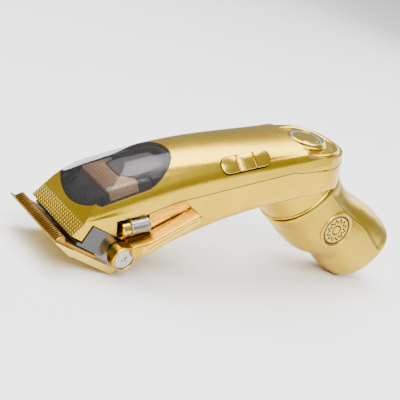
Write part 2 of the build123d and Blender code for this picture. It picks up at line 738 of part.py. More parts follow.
with BuildPart() as button_spring:
    with BuildLine() as coil:
        Helix(pitch=0.95, height=2.6, radius=2.2, center=(RELEASE_X, 0, -18.8))
    with BuildSketch(Plane(origin=coil.line @ 0, z_dir=coil.line % 0)):
        Circle(0.22)
    sweep(is_frenet=True)


# ------------------------------------------------------------------ grip
def grip_form(inset):
    """Solid of the whole grip, inset from its outer surface."""
    with BuildPart() as form:
        for below, across, deep, half, full in GRIP_SECTIONS:
            depth = below - inset if below > 20 else below - 2 * inset
            a, b = deep - inset, half - inset
            with BuildSketch(COLLAR.offset(depth)):
                with BuildLine():
                    for side in (1, -1):
                        Spline((across - a, 0), (across - a * full, side * b * full),
                               (across, side * b), (across + a * full, side * b * full),
                               (across + a, 0), tangents=[(0, side), (0, -side)])
                make_face()
        loft(ruled=True)
    return form.part


def grip_half(side):
    """One half shell of the grip: side is -1 for the near half and 1 for the far one."""
    with BuildPart() as half:
        add(grip_outer)
        add(grip_inner, mode=Mode.SUBTRACT)
        with BuildSketch(COLLAR_SIDE):
            with Locations(*GRIP_POSTS):
                Circle(3.2)
        extrude(amount=side * 14.5)
        with BuildSketch(COLLAR_SIDE.offset(-REACH)):
            with Locations(*GRIP_POSTS):
                Circle(1.25)
        extrude(amount=2 * REACH - 9.0 if side > 0 else REACH + 9.0, mode=Mode.SUBTRACT)
        with BuildSketch(COLLAR_SIDE.offset(side * 15.9)):
            with Locations((BADGE_ACROSS, BADGE_BELOW)):
                Circle(BADGE_RADIUS + 0.1)
        extrude(amount=side * 6, mode=Mode.SUBTRACT)
        with BuildSketch(COLLAR_SIDE):
            with Locations((0, 30)):
                Rectangle(200, 200)
        extrude(amount=side * REACH, mode=Mode.INTERSECT)
    return half


grip_outer = grip_form(0)
grip_inner = grip_form(GRIP_WALL)
grip_left = grip_half(-1)
grip_right = grip_half(1)


def badge(side):
    """Round medallion let into one side of the grip."""
    with BuildPart() as disc:
        with BuildSketch(COLLAR_SIDE.offset(side * 15.9)):
            with Locations((BADGE_ACROSS, BADGE_BELOW)):
                Circle(BADGE_RADIUS)
        extrude(amount=side * 1.3)
    return disc


badge_left = badge(-1)
badge_right = badge(1)

with BuildPart() as grip_socket:
    with BuildSketch(COLLAR.offset(1.2)):
        Ellipse(SPIGOT_A + 1.6, SPIGOT_B + 1.6)
        Ellipse(SPIGOT_A + 0.3, SPIGOT_B + 0.3, mode=Mode.SUBTRACT)
    extrude(amount=12.0)

# ------------------------------------------------------------------ export
heel = blade_point(38.0, -3.0)
toe = collar_point(-5.0, 66.0)
stand = atan2(heel[1] - toe[1], toe[0] - heel[0])
STAND = Location((0, 0, 0), (0, -degrees(stand), 0))

PIECES = {
    "upper_shell": upper_shell, "lower_shell": lower_shell, "nose_plate": nose_plate,
    "housing_screws": housing_screws, "window_lens": window_lens, "window_gasket": window_gasket,
    "motor_deck": motor_deck, "deck_screws": deck_screws, "copper_strap": copper_strap,
    "sensor_guard": sensor_guard, "fixed_blade": fixed_blade, "blade_screws": blade_screws,
    "blade_bracket": blade_bracket, "moving_blade": moving_blade, "drive_yoke": drive_yoke,
    "blade_carriage": blade_carriage, "tension_spring": tension_spring, "chassis": chassis,
    "taper_lever": taper_lever, "lever_shaft": lever_shaft, "lever_screw": lever_screw,
    "detent_stem": detent_stem, "detent_sleeve": detent_sleeve, "motor_can": motor_can,
    "motor_coil": motor_coil, "front_bearing": front_bearing, "rear_bearing": rear_bearing,
    "rotor_shaft": rotor_shaft, "rotor_magnet": rotor_magnet, "eccentric_hub": eccentric_hub,
    "battery_cell": battery_cell, "main_board": main_board, "switch_body": switch_body,
    "switch_board": switch_board, "button_bezel": button_bezel, "ring_light": ring_light,
    "power_button": power_button, "charge_socket": charge_socket, "speed_rocker": speed_rocker,
    "rocker_pin": rocker_pin, "release_button": release_button, "button_spring": button_spring,
    "grip_left": grip_left, "grip_right": grip_right, "grip_socket": grip_socket,
    "badge_left": badge_left, "badge_right": badge_right,
}

standing = {name: piece.part.moved(STAND) for name, piece in PIECES.items()}
boxes = [piece.bounding_box() for piece in standing.values()]
SHIFT = Location((-(min(box.min.X for box in boxes) + max(box.max.X for box in boxes)) / 2,
                  -(min(box.min.Y for box in boxes) + max(box.max.Y for box in boxes)) / 2,
                  -min(box.min.Z for box in boxes)))
for name, piece in standing.items():
    placed = piece.moved(SHIFT)
    placed.label = name
    export_step(placed, f"parts/{name}.step")
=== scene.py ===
"""Cordless hair clipper: the finished surfaces, materials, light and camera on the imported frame.

Shapes are worked out in the clipper's own level frame in millimetres: x runs to the rear
from the middle of the fixed blade's tooth edge, y to the far side and z up. Placing turns
that frame by the standing angle and shifts it on to the table, in metres.
"""
import json
import logging
from dataclasses import dataclass, field
from enum import Enum
from math import cos, pi, radians, sin

import bmesh
import bpy
import numpy as np
from mathutils import Matrix

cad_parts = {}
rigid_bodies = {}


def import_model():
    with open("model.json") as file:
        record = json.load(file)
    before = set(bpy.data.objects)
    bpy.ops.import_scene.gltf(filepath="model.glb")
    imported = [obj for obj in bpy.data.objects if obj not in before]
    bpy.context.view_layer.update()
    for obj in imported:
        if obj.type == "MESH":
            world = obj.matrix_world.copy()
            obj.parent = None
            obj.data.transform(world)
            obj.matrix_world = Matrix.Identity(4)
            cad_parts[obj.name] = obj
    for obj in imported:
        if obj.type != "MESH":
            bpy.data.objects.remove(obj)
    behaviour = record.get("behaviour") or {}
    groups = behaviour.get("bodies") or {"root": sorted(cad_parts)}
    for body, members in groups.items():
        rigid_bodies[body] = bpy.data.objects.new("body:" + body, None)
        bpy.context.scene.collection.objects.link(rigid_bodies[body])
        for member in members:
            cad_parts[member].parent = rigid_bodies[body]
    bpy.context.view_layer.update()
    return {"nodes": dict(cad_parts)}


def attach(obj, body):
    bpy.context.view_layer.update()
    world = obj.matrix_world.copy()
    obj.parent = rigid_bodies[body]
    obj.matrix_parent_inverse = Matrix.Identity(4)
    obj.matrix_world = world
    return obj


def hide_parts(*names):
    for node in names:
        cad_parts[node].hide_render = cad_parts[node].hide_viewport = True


for leftover in list(bpy.data.objects):
    bpy.data.objects.remove(leftover)
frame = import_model()

LOG = logging.getLogger("hair_clipper")
STAND = radians(19.09196)
SHIFT = np.array([-107.5032, 2.5, 14.5393])


# ---------------------------------------------------------------- placing and meshes
def turned(vectors: np.ndarray) -> np.ndarray:
    """Turn vectors about the y axis by the standing angle.

    Args:
        vectors: array whose last axis is x, y, z in the level frame.

    Returns:
        The same array in the standing frame.
    """
    v = np.asarray(vectors, dtype=float)
    return np.stack([v[..., 0] * cos(STAND) - v[..., 2] * sin(STAND), v[..., 1],
                     v[..., 0] * sin(STAND) + v[..., 2] * cos(STAND)], axis=-1)


def placed(points: np.ndarray) -> np.ndarray:
    """Take level-frame millimetres to metres on the table: turn, shift, scale."""
    return (turned(points) + SHIFT) / 1000.0


@dataclass(frozen=True)
class Axes:
    """A local frame: an origin and two directions, the third being their cross product."""

    origin: tuple[float, float, float]
    x: tuple[float, float, float]
    z: tuple[float, float, float]

    def at(self, u: np.ndarray, v: np.ndarray, w: np.ndarray) -> np.ndarray:
        """Return level-frame points origin + u x + v (z cross x) + w z.

        Args:
            u: distance along the first direction.
            v: distance along the cross direction.
            w: distance along the normal.

        Returns:
            Array of points with x, y, z last.
        """
        u, v, w = np.broadcast_arrays(np.asarray(u, float), np.asarray(v, float), np.asarray(w, float))
        x, z = np.array(self.x), np.array(self.z)
        return (np.array(self.origin) + u[..., None] * x + v[..., None] * np.cross(z, x)
                + w[..., None] * z)


PITCH, TILT, LEAN, FLANK = radians(37.0), radians(12.0), radians(33.0), radians(43.0)
SIDE = Axes((0, 0, 0), (1, 0, 0), (0, -1, 0))
BLADE = Axes((0, 0, 0), (cos(PITCH), 0, -sin(PITCH)), (sin(PITCH), 0, cos(PITCH)))
BUTTON = Axes((146.5, 0, 8.6), (cos(TILT), 0, -sin(TILT)), (sin(TILT), 0, cos(TILT)))
COLLAR = Axes((145.9, 0, -18.8), (cos(LEAN), 0, sin(LEAN)), (sin(LEAN), 0, -cos(LEAN)))
ROCKER = Axes((99.2, -16.5, 14.5), (1, 0, 0), (0, -sin(FLANK), cos(FLANK)))
STEM = Axes((0, -20.4, -3.4), (0, 1, 0), (1, 0, 0))


def eased(knots: np.ndarray, values: np.ndarray, at: np.ndarray) -> np.ndarray:
    """Interpolate smoothly through knots with cubic Hermite pieces.

    Each knot's slope is the mean of its neighbours' slopes, and zero where they differ in
    sign, so the curve never overshoots.

    Args:
        knots: rising positions of the knots.
        values: value at each knot.
        at: positions wanted.

    Returns:
        The interpolated values.
    """
    k, y, t = np.asarray(knots, float), np.asarray(values, float), np.asarray(at, float)
    rise = np.diff(y) / np.diff(k)
    slope = np.concatenate([[rise[0]], np.where(rise[1:] * rise[:-1] > 0,
                                                (rise[1:] + rise[:-1]) / 2, 0.0), [rise[-1]]])
    i = np.clip(np.searchsorted(k, t) - 1, 0, len(k) - 2)
    h = k[i + 1] - k[i]
    s = np.clip((t - k[i]) / h, 0, 1)
    return (y[i] * (2 * s**3 - 3 * s**2 + 1) + y[i + 1] * (3 * s**2 - 2 * s**3)
            + h * slope[i] * (s**3 - 2 * s**2 + s) + h * slope[i + 1] * (s**3 - s**2))


def step(edge0: float, edge1: float, value: np.ndarray) -> np.ndarray:
    """Smooth step: 0 below edge0, 1 above edge1, 3t^2 - 2t^3 between."""
    t = np.clip((np.asarray(value, float) - edge0) / (edge1 - edge0), 0, 1)
    return t * t * (3 - 2 * t)


@dataclass
class Patch:
    """A grid of points joined into quads, with optional wrapping, caps and texture places.

    The grid's rows and columns are the surface's two parameters. Row r and column c join to
    r + 1 and c + 1. A cap is one flat face over the first or last row.
    """

    points: np.ndarray
    wrap_rows: bool = False
    wrap_columns: bool = True
    caps: bool = True
    uv: np.ndarray | None = None
    mask: np.ndarray | None = None

    def faces(self) -> list[list[int]]:
        """Return vertex indices of every face, worked out as whole arrays."""
        m, n = self.points.shape[:2]
        r = np.arange(m if self.wrap_rows else m - 1)[:, None]
        c = np.arange(n if self.wrap_columns else n - 1)[None, :]
        r1, c1 = (r + 1) % m, (c + 1) % n
        quads = np.stack([r * n + c, r * n + c1, r1 * n + c1, r1 * n + c], axis=-1).reshape(-1, 4)
        found = quads.tolist()
        if self.caps and self.wrap_columns and not self.wrap_rows:
            found.append(list(range(n))[::-1])
            found.append(list(range((m - 1) * n, m * n)))
        return found


def solid(name: str, patches: list[Patch], sharp: float = 38.0) -> bpy.types.Object:
    """Make one mesh object from patches, merge equal points and face it outwards.

    Args:
        name: name of the piece.
        patches: closed grids in the level frame, in millimetres.
        sharp: angle in degrees above which an edge stays sharp.

    Returns:
        The new object, at the origin.
    """
    mesh = bpy.data.meshes.new(name)
    points, faces, uvs, masks, start = [], [], [], [], 0
    for patch in patches:
        flat = patch.points.reshape(-1, 3)
        points.append(placed(flat))
        faces += [[start + i for i in face] for face in patch.faces()]
        uvs.append(patch.uv.reshape(-1, 2) if patch.uv is not None else flat[:, :2] / 50.0)
        masks.append(patch.mask.reshape(-1) if patch.mask is not None else np.zeros(len(flat)))
        start += len(flat)
    mesh.from_pydata(np.concatenate(points).tolist(), [], faces)
    loops = np.empty(len(mesh.loops), dtype=np.int32)
    mesh.loops.foreach_get("vertex_index", loops)
    layer = mesh.uv_layers.new(name="place")
    layer.data.foreach_set("uv", np.concatenate(uvs)[loops].astype(np.float32).ravel())
    attribute = mesh.attributes.new("panel", "FLOAT", "POINT")
    attribute.data.foreach_set("value", np.concatenate(masks).astype(np.float32))
    work = bmesh.new()
    work.from_mesh(mesh)
    bmesh.ops.remove_doubles(work, verts=work.verts, dist=2e-6)
    bmesh.ops.dissolve_degenerate(work, edges=work.edges, dist=1e-7)
    bmesh.ops.recalc_face_normals(work, faces=work.faces)
    work.to_mesh(mesh)
    work.free()
    mesh.shade_smooth()
    mesh.set_sharp_from_angle(angle=radians(sharp))
    piece = bpy.data.objects.new(name, mesh)
    bpy.context.scene.collection.objects.link(piece)
    return piece


def revolved(axes: Axes, radii: list[float], heights: list[float], around: int = 64,
             centre: tuple[float, float] = (0.0, 0.0)) -> Patch:
    """Turn a profile about the frame's normal: (r cos a, r sin a, h) for every a and (r, h).

    Args:
        axes: frame whose normal is the axis.
        radii: profile radii, from the bottom centre round the outside to the top centre.
        heights: profile heights.
        around: points round the circle.
        centre: where the axis crosses the frame.

    Returns:
        The closed patch.
    """
    a = np.linspace(0, 2 * pi, around, endpoint=False)[None, :]
    r, h = np.array(radii, float)[:, None], np.array(heights, float)[:, None]
    grid = axes.at(centre[0] + r * np.cos(a), centre[1] + r * np.sin(a), h + 0 * a)
    place = np.stack([r * np.cos(a), r * np.sin(a)], axis=-1)
    closed = radii[0] > 0 and radii[-1] > 0
    return Patch(grid, wrap_rows=closed, caps=False, uv=place)


def tube(path: np.ndarray, width: np.ndarray | float, height: np.ndarray | float | None = None,
         around: int = 16, closed: bool = False, up: tuple[float, float, float] = (0, 0, 1)) -> Patch:
    """Carry an ellipse along a path: p + w cos a side + h sin a up, square to the tangent.

    Args:
        path: points of the path, in order.
        width: half width at each point.
        height: half height at each point, the width where left out.
        around: points round the section.
        closed: whether the path joins its own start.
        up: direction that the section's height leans to.

    Returns:
        The closed patch.
    """
    path = np.asarray(path, float)
    ahead = (np.roll(path, -1, 0) - np.roll(path, 1, 0)) if closed else np.gradient(path, axis=0)
    ahead /= np.linalg.norm(ahead, axis=1, keepdims=True)
    side = np.cross(ahead, np.array(up, float))
    side /= np.linalg.norm(side, axis=1, keepdims=True)
    lift = np.cross(side, ahead)
    a = np.linspace(0, 2 * pi, around, endpoint=False)[None, :, None]
    w = np.broadcast_to(np.asarray(width, float), len(path))[:, None, None]
    h = w if height is None else np.broadcast_to(np.asarray(height, float), len(path))[:, None, None]
    grid = path[:, None, :] + w * np.cos(a) * side[:, None, :] + h * np.sin(a) * lift[:, None, :]
    along = np.cumsum(np.concatenate([[0], np.linalg.norm(np.diff(path, axis=0), axis=1)]))
    place = np.stack(np.broadcast_arrays(along[:, None] / 50, np.linspace(0, 1, around)[None, :]), axis=-1)
    return Patch(grid, wrap_rows=closed, caps=not closed, uv=place)


def slab(axes: Axes, outline: np.ndarray, low: float, high: float, rounding: float,
         below: float = 0.0, steps: int = 4) -> Patch:
    """Raise an outline into a plate whose rim is a quarter circle.

    At angle a the ring stands at high - r (1 - sin a) and is drawn in by r (1 - cos a) along
    the outline's own inward normals. The lower rim is rounded the same way by its own radius.

    Args:
        axes: frame that the outline lies in.
        outline: points going once round, anticlockwise.
        low: height of the lower face.
        high: height of the upper face.
        rounding: radius of the upper rim.
        below: radius of the lower rim.
        steps: rings in each quarter.

    Returns:
        The closed patch.
    """
    outline = np.asarray(outline, float)
    ahead = np.roll(outline, -1, 0) - outline
    ahead /= np.linalg.norm(ahead, axis=1, keepdims=True)
    normal = np.stack([-ahead[:, 1], ahead[:, 0]], axis=1)
    inward = normal + np.roll(normal, 1, 0)
    inward /= np.maximum(np.sum(inward * normal, axis=1, keepdims=True), 0.6)
    quarter = np.linspace(0, pi / 2, steps)
    draw = np.concatenate([below * (1 - np.cos(quarter[::-1])), rounding * (1 - np.cos(quarter))])
    height = np.concatenate([low + below * (1 - np.sin(quarter[::-1])),
                             high - rounding * (1 - np.sin(quarter))])
    flat = outline[None] + draw[:, None, None] * inward[None]
    grid = axes.at(flat[..., 0], flat[..., 1], height[:, None] + 0 * flat[..., 0])
    return Patch(grid, uv=flat / 50.0)


def obround(length: float, width: float, around: int = 24) -> np.ndarray:
    """Outline of a slot: two half circles joined by straight sides, anticlockwise."""
    a = np.linspace(-pi / 2, pi / 2, around)
    end = np.stack([np.cos(a), np.sin(a)], axis=1) * width / 2
    reach = np.array([(length - width) / 2, 0])
    return np.concatenate([end + reach, -end - reach])


def smoothed(corners: np.ndarray, radius: float, steps: int = 6) -> np.ndarray:
    """Round an outline's corners with quadratic curves that start a radius before each.

    Args:
        corners: corner points going round.
        radius: how far from the corner each curve starts and ends.
        steps: points in each curve.

    Returns:
        The rounded outline.
    """
    p = np.asarray(corners, float)
    before, after = np.roll(p, 1, 0) - p, np.roll(p, -1, 0) - p
    reach = np.minimum(radius, 0.45 * np.minimum(np.linalg.norm(before, axis=1),
                                                 np.linalg.norm(after, axis=1)))[:, None]
    a = p + before / np.linalg.norm(before, axis=1, keepdims=True) * reach
    b = p + after / np.linalg.norm(after, axis=1, keepdims=True) * reach
    t = np.linspace(0, 1, steps)[None, :, None]
    curve = (1 - t)**2 * a[:, None] + 2 * t * (1 - t) * p[:, None] + t**2 * b[:, None]
    return curve.reshape(-1, p.shape[1])


# ---------------------------------------------------------------- finishes
Tree = bpy.types.NodeTree
Socket = bpy.types.NodeSocket


class Grain(Enum):
    """What the fine detail of a finish looks like."""

    SATIN = "satin"
    BRUSHED = "brushed"
    PEBBLED = "pebbled"


@dataclass(frozen=True)
class Finish:
    """A surface finish: colour that drifts a little, grain in bump and roughness."""

    name: str
    colour: tuple[float, float, float]
    shade: tuple[float, float, float]
    metallic: float = 1.0
    roughness: float = 0.3
    grain: Grain = Grain.SATIN
    bump: float = 0.1
    coat: float = 0.0
    scale: float = 1.0

    def material(self) -> bpy.types.Material:
        """Return the finish's material, made once."""
        known = bpy.data.materials.get(f"look_{self.name}")
        return known if known else self._build()

    def _build(self) -> bpy.types.Material:
        """Build the node tree: noise drifts the colour, grain drives roughness and bump."""
        made = bpy.data.materials.new(f"look_{self.name}")
        made.use_nodes = True
        tree = made.node_tree
        shader = tree.nodes["Principled BSDF"]
        shader.inputs["Metallic"].default_value = self.metallic
        shader.inputs["Coat Weight"].default_value = self.coat
        shader.inputs["Coat Roughness"].default_value = 0.08
        place = tree.nodes.new("ShaderNodeTexCoord").outputs["Object"]
        drift = self._noise(tree, place, (40.0, 40.0, 40.0), 3.0)
        tone = self._ramp(tree, drift, 0.36, 0.66)
        colour = self._blend(tree, tone, self.shade, self.colour)
        tree.links.new(self.extra_colour(tree, colour), shader.inputs["Base Color"])
        fine = self._grain(tree, place)
        rough = tree.nodes.new("ShaderNodeMapRange")
        rough.inputs["To Min"].default_value = max(self.roughness - 0.07, 0.02)
        rough.inputs["To Max"].default_value = self.roughness + 0.09
        tree.links.new(fine, rough.inputs["Value"])
        tree.links.new(rough.outputs["Result"], shader.inputs["Roughness"])
        relief = tree.nodes.new("ShaderNodeBump")
        relief.inputs["Strength"].default_value = self.bump
        relief.inputs["Distance"].default_value = 0.0002
        tree.links.new(fine, relief.inputs["Height"])
        tree.links.new(self.extra_bump(tree, relief.outputs["Normal"]), shader.inputs["Normal"])
        return made

    def extra_colour(self, tree: Tree, colour: Socket) -> Socket:
        """Return the colour with a pattern laid over it; plain here."""
        return colour

    def extra_bump(self, tree: Tree, normal: Socket) -> Socket:
        """Return the normal with a pattern's relief added; plain here."""
        return normal

    def _grain(self, tree: Tree, place: Socket) -> Socket:
        """Return the fine grain's value for this finish's kind of grain."""
        stretch = {Grain.SATIN: (2600.0, 2600.0, 2600.0), Grain.BRUSHED: (160.0, 5200.0, 5200.0),
                   Grain.PEBBLED: (1500.0, 1500.0, 1500.0)}
        size = tuple(s * self.scale for s in stretch[self.grain])
        return self._noise(tree, place, size, 2.0, turned_down=self.grain is Grain.BRUSHED)

    @staticmethod
    def _noise(tree: Tree, place: Socket, size: tuple[float, float, float],
               detail: float, turned_down: bool = False) -> Socket:
        """Return noise at a size along each axis, turned with the standing body if asked."""
        mapping = tree.nodes.new("ShaderNodeMapping")
        mapping.inputs["Scale"].default_value = size
        if turned_down:
            mapping.inputs["Rotation"].default_value = (0.0, STAND, 0.0)
        tree.links.new(place, mapping.inputs["Vector"])
        noise = tree.nodes.new("ShaderNodeTexNoise")
        noise.inputs["Scale"].default_value = 1.0
        noise.inputs["Detail"].default_value = detail
        tree.links.new(mapping.outputs["Vector"], noise.inputs["Vector"])
        return noise.outputs["Fac"]

    @staticmethod
    def _ramp(tree: Tree, value: Socket, low: float, high: float) -> Socket:
        """Return the value stretched so that low becomes 0 and high becomes 1."""
        ranged = tree.nodes.new("ShaderNodeMapRange")
        ranged.interpolation_type = "SMOOTHSTEP"
        ranged.inputs["From Min"].default_value = low
        ranged.inputs["From Max"].default_value = high
        tree.links.new(value, ranged.inputs["Value"])
        return ranged.outputs["Result"]

    @staticmethod
    def _blend(tree: Tree, factor: Socket, first: tuple[float, ...] | Socket,
               second: tuple[float, ...] | Socket) -> Socket:
        """Return a colour between first and second by the factor."""
        mix = tree.nodes.new("ShaderNodeMix")
        mix.data_type = "RGBA"
        tree.links.new(factor, mix.inputs["Factor"])
        for colour, socket in ((first, mix.inputs[6]), (second, mix.inputs[7])):
            if isinstance(colour, tuple):
                socket.default_value = (*colour[:3], 1.0)
            else:
                tree.links.new(colour, socket)
        return mix.outputs[2]

    @staticmethod
    def _maths(tree: Tree, kind: str, first: Socket | float,
               second: Socket | float = 0.0) -> Socket:
        """Return the result of a Math node on two values or sockets."""
        node = tree.nodes.new("ShaderNodeMath")
        node.operation = kind
        for value, socket in ((first, node.inputs[0]), (second, node.inputs[1])):
            if isinstance(value, (int, float)):
                socket.default_value = value
            else:
                tree.links.new(value, socket)
        return node.outputs[0]

    def _raised(self, tree: Tree, height: Socket, normal: Socket,
                strength: float, distance: float) -> Socket:
        """Return the normal with one more height pattern bumped on to it."""
        bump = tree.nodes.new("ShaderNodeBump")
        bump.inputs["Strength"].default_value = strength
        bump.inputs["Distance"].default_value = distance
        tree.links.new(height, bump.inputs["Height"])
        tree.links.new(normal, bump.inputs["Normal"])
        return bump.outputs["Normal"]


@dataclass(frozen=True)
class DashFinish(Finish):
    """Satin metal with rows of fine pressed dashes wherever the piece's panel mask is on, the dashes darkened
    with painted shade.
    """

    def _dashes(self, tree: Tree) -> Socket:
        """Return 1 inside a dash: a brick pattern of the texture place, times the mask."""
        place = tree.nodes.new("ShaderNodeUVMap")
        place.uv_map = "place"
        brick = tree.nodes.new("ShaderNodeTexBrick")
        brick.offset = 0.5
        brick.inputs["Scale"].default_value = 1.0
        brick.inputs["Brick Width"].default_value = 0.046
        brick.inputs["Row Height"].default_value = 0.026
        brick.inputs["Mortar Size"].default_value = 0.0065
        brick.inputs["Mortar Smooth"].default_value = 0.3
        tree.links.new(place.outputs["UV"], brick.inputs["Vector"])
        mask = tree.nodes.new("ShaderNodeAttribute")
        mask.attribute_name = "panel"
        inside = self._maths(tree, "SUBTRACT", 1.0, brick.outputs["Fac"])
        return self._maths(tree, "MULTIPLY", inside, mask.outputs["Fac"])

    def extra_colour(self, tree: Tree, colour: Socket) -> Socket:
        """Darken the pressed dashes a little: painted shade in the hollows of the dashes."""
        # painted shade: a darker copy of the shade tone laid into the pressed dashes
        dark = tuple(0.62 * c for c in self.shade)
        painted_shade_weight = self._maths(tree, "MULTIPLY", self._dashes(tree), 0.55)
        return self._blend(tree, painted_shade_weight, colour, dark)

    def extra_bump(self, tree: Tree, normal: Socket) -> Socket:
        """Press the dashes into the surface."""
        height = self._maths(tree, "SUBTRACT", 1.0, self._dashes(tree))
        return self._raised(tree, height, normal, 0.8, 0.0004)


@dataclass(frozen=True)
class RosetteFinish(Finish):
    """Metal disc with dark-filled lines: petals round the middle and a ring near the rim."""

    petals: int = 12
    radius: float = 9.7

    def _lines(self, tree: Tree) -> Socket:
        """Return 1 in the filled lines, from the texture place's distance and angle."""
        place = tree.nodes.new("ShaderNodeUVMap")
        place.uv_map = "place"
        part = tree.nodes.new("ShaderNodeSeparateXYZ")
        tree.links.new(place.outputs["UV"], part.inputs[0])
        x, y = part.outputs[0], part.outputs[1]
        squares = self._maths(tree, "ADD", *(self._maths(tree, "MULTIPLY", one, one) for one in (x, y)))
        out = self._maths(tree, "DIVIDE", self._maths(tree, "SQRT", squares), self.radius)
        angle = self._maths(tree, "ARCTAN2", y, x)
        wave = self._maths(tree, "SINE", self._maths(tree, "MULTIPLY", angle, float(self.petals)))
        edge = self._maths(tree, "ADD", self._maths(tree, "MULTIPLY", wave, 0.09), 0.52)
        away = [self._maths(tree, "SUBTRACT", out, line) for line in (edge, 0.79, 0.25)]
        widths = ((0.045, 0.075), (0.045, 0.065), (0.03, 0.05))
        petal, ring, hub = (self._ramp(tree, self._maths(tree, "ABSOLUTE", one), low, high)
                            for one, (low, high) in zip(away, widths))
        plain = self._maths(tree, "MINIMUM", petal, self._maths(tree, "MINIMUM", ring, hub))
        return self._maths(tree, "SUBTRACT", 1.0, plain)

    def extra_colour(self, tree: Tree, colour: Socket) -> Socket:
        """Fill the lines with a dark colour."""
        return self._blend(tree, self._lines(tree), colour, (0.05, 0.04, 0.025))

    def extra_bump(self, tree: Tree, normal: Socket) -> Socket:
        """Sink the filled lines."""
        height = self._maths(tree, "SUBTRACT", 1.0, self._lines(tree))
        return self._raised(tree, height, normal, 0.7, 0.0004)


@dataclass(frozen=True)
class TradeFinish(Finish):
    """Metal with a generic pattern of small diamonds pressed into it, its low places darkened with painted
    shade.
    """

    size: float = 520.0
    depth: float = 0.5
    # dark: strength of the painted shade laid into the pattern's low places
    dark: float = 0.35

    def _diamonds(self, tree: Tree) -> Socket:
        """Return the diamonds' height: the product of two crossed sine waves."""
        place = tree.nodes.new("ShaderNodeTexCoord").outputs["Object"]
        part = tree.nodes.new("ShaderNodeSeparateXYZ")
        tree.links.new(place, part.inputs[0])
        lift = self._maths(tree, "ADD", part.outputs[0], part.outputs[2])
        slants = [self._maths(tree, kind, lift, part.outputs[1]) for kind in ("ADD", "SUBTRACT")]
        both = [self._maths(tree, "SINE", self._maths(tree, "MULTIPLY", slant, self.size * 2 * pi / 1.6))
                for slant in slants]
        return self._ramp(tree, self._maths(tree, "MULTIPLY", *both), -0.15, 0.25)

    def extra_colour(self, tree: Tree, colour: Socket) -> Socket:
        """Darken the low places of the pattern: painted shade in the pressed hollows."""
        # painted shade: the pattern's low places take a darker copy of the shade tone
        low = self._maths(tree, "SUBTRACT", 1.0, self._diamonds(tree))
        low = self._maths(tree, "MULTIPLY", low, self.dark)
        return self._blend(tree, low, colour, tuple(0.35 * c for c in self.shade))

    def extra_bump(self, tree: Tree, normal: Socket) -> Socket:
        """Raise the pattern."""
        return self._raised(tree, self._diamonds(tree), normal, self.depth, 0.0003)


@dataclass(frozen=True)
class ClearFinish(Finish):
    """Smoked clear plastic, faintly uneven, that lets part of the light straight through."""

    cover: float = 0.36

    def _build(self) -> bpy.types.Material:
        """Let the plain finish cover only part of what is behind it."""
        made = super()._build()
        made.node_tree.nodes["Principled BSDF"].inputs["Alpha"].default_value = self.cover
        return made


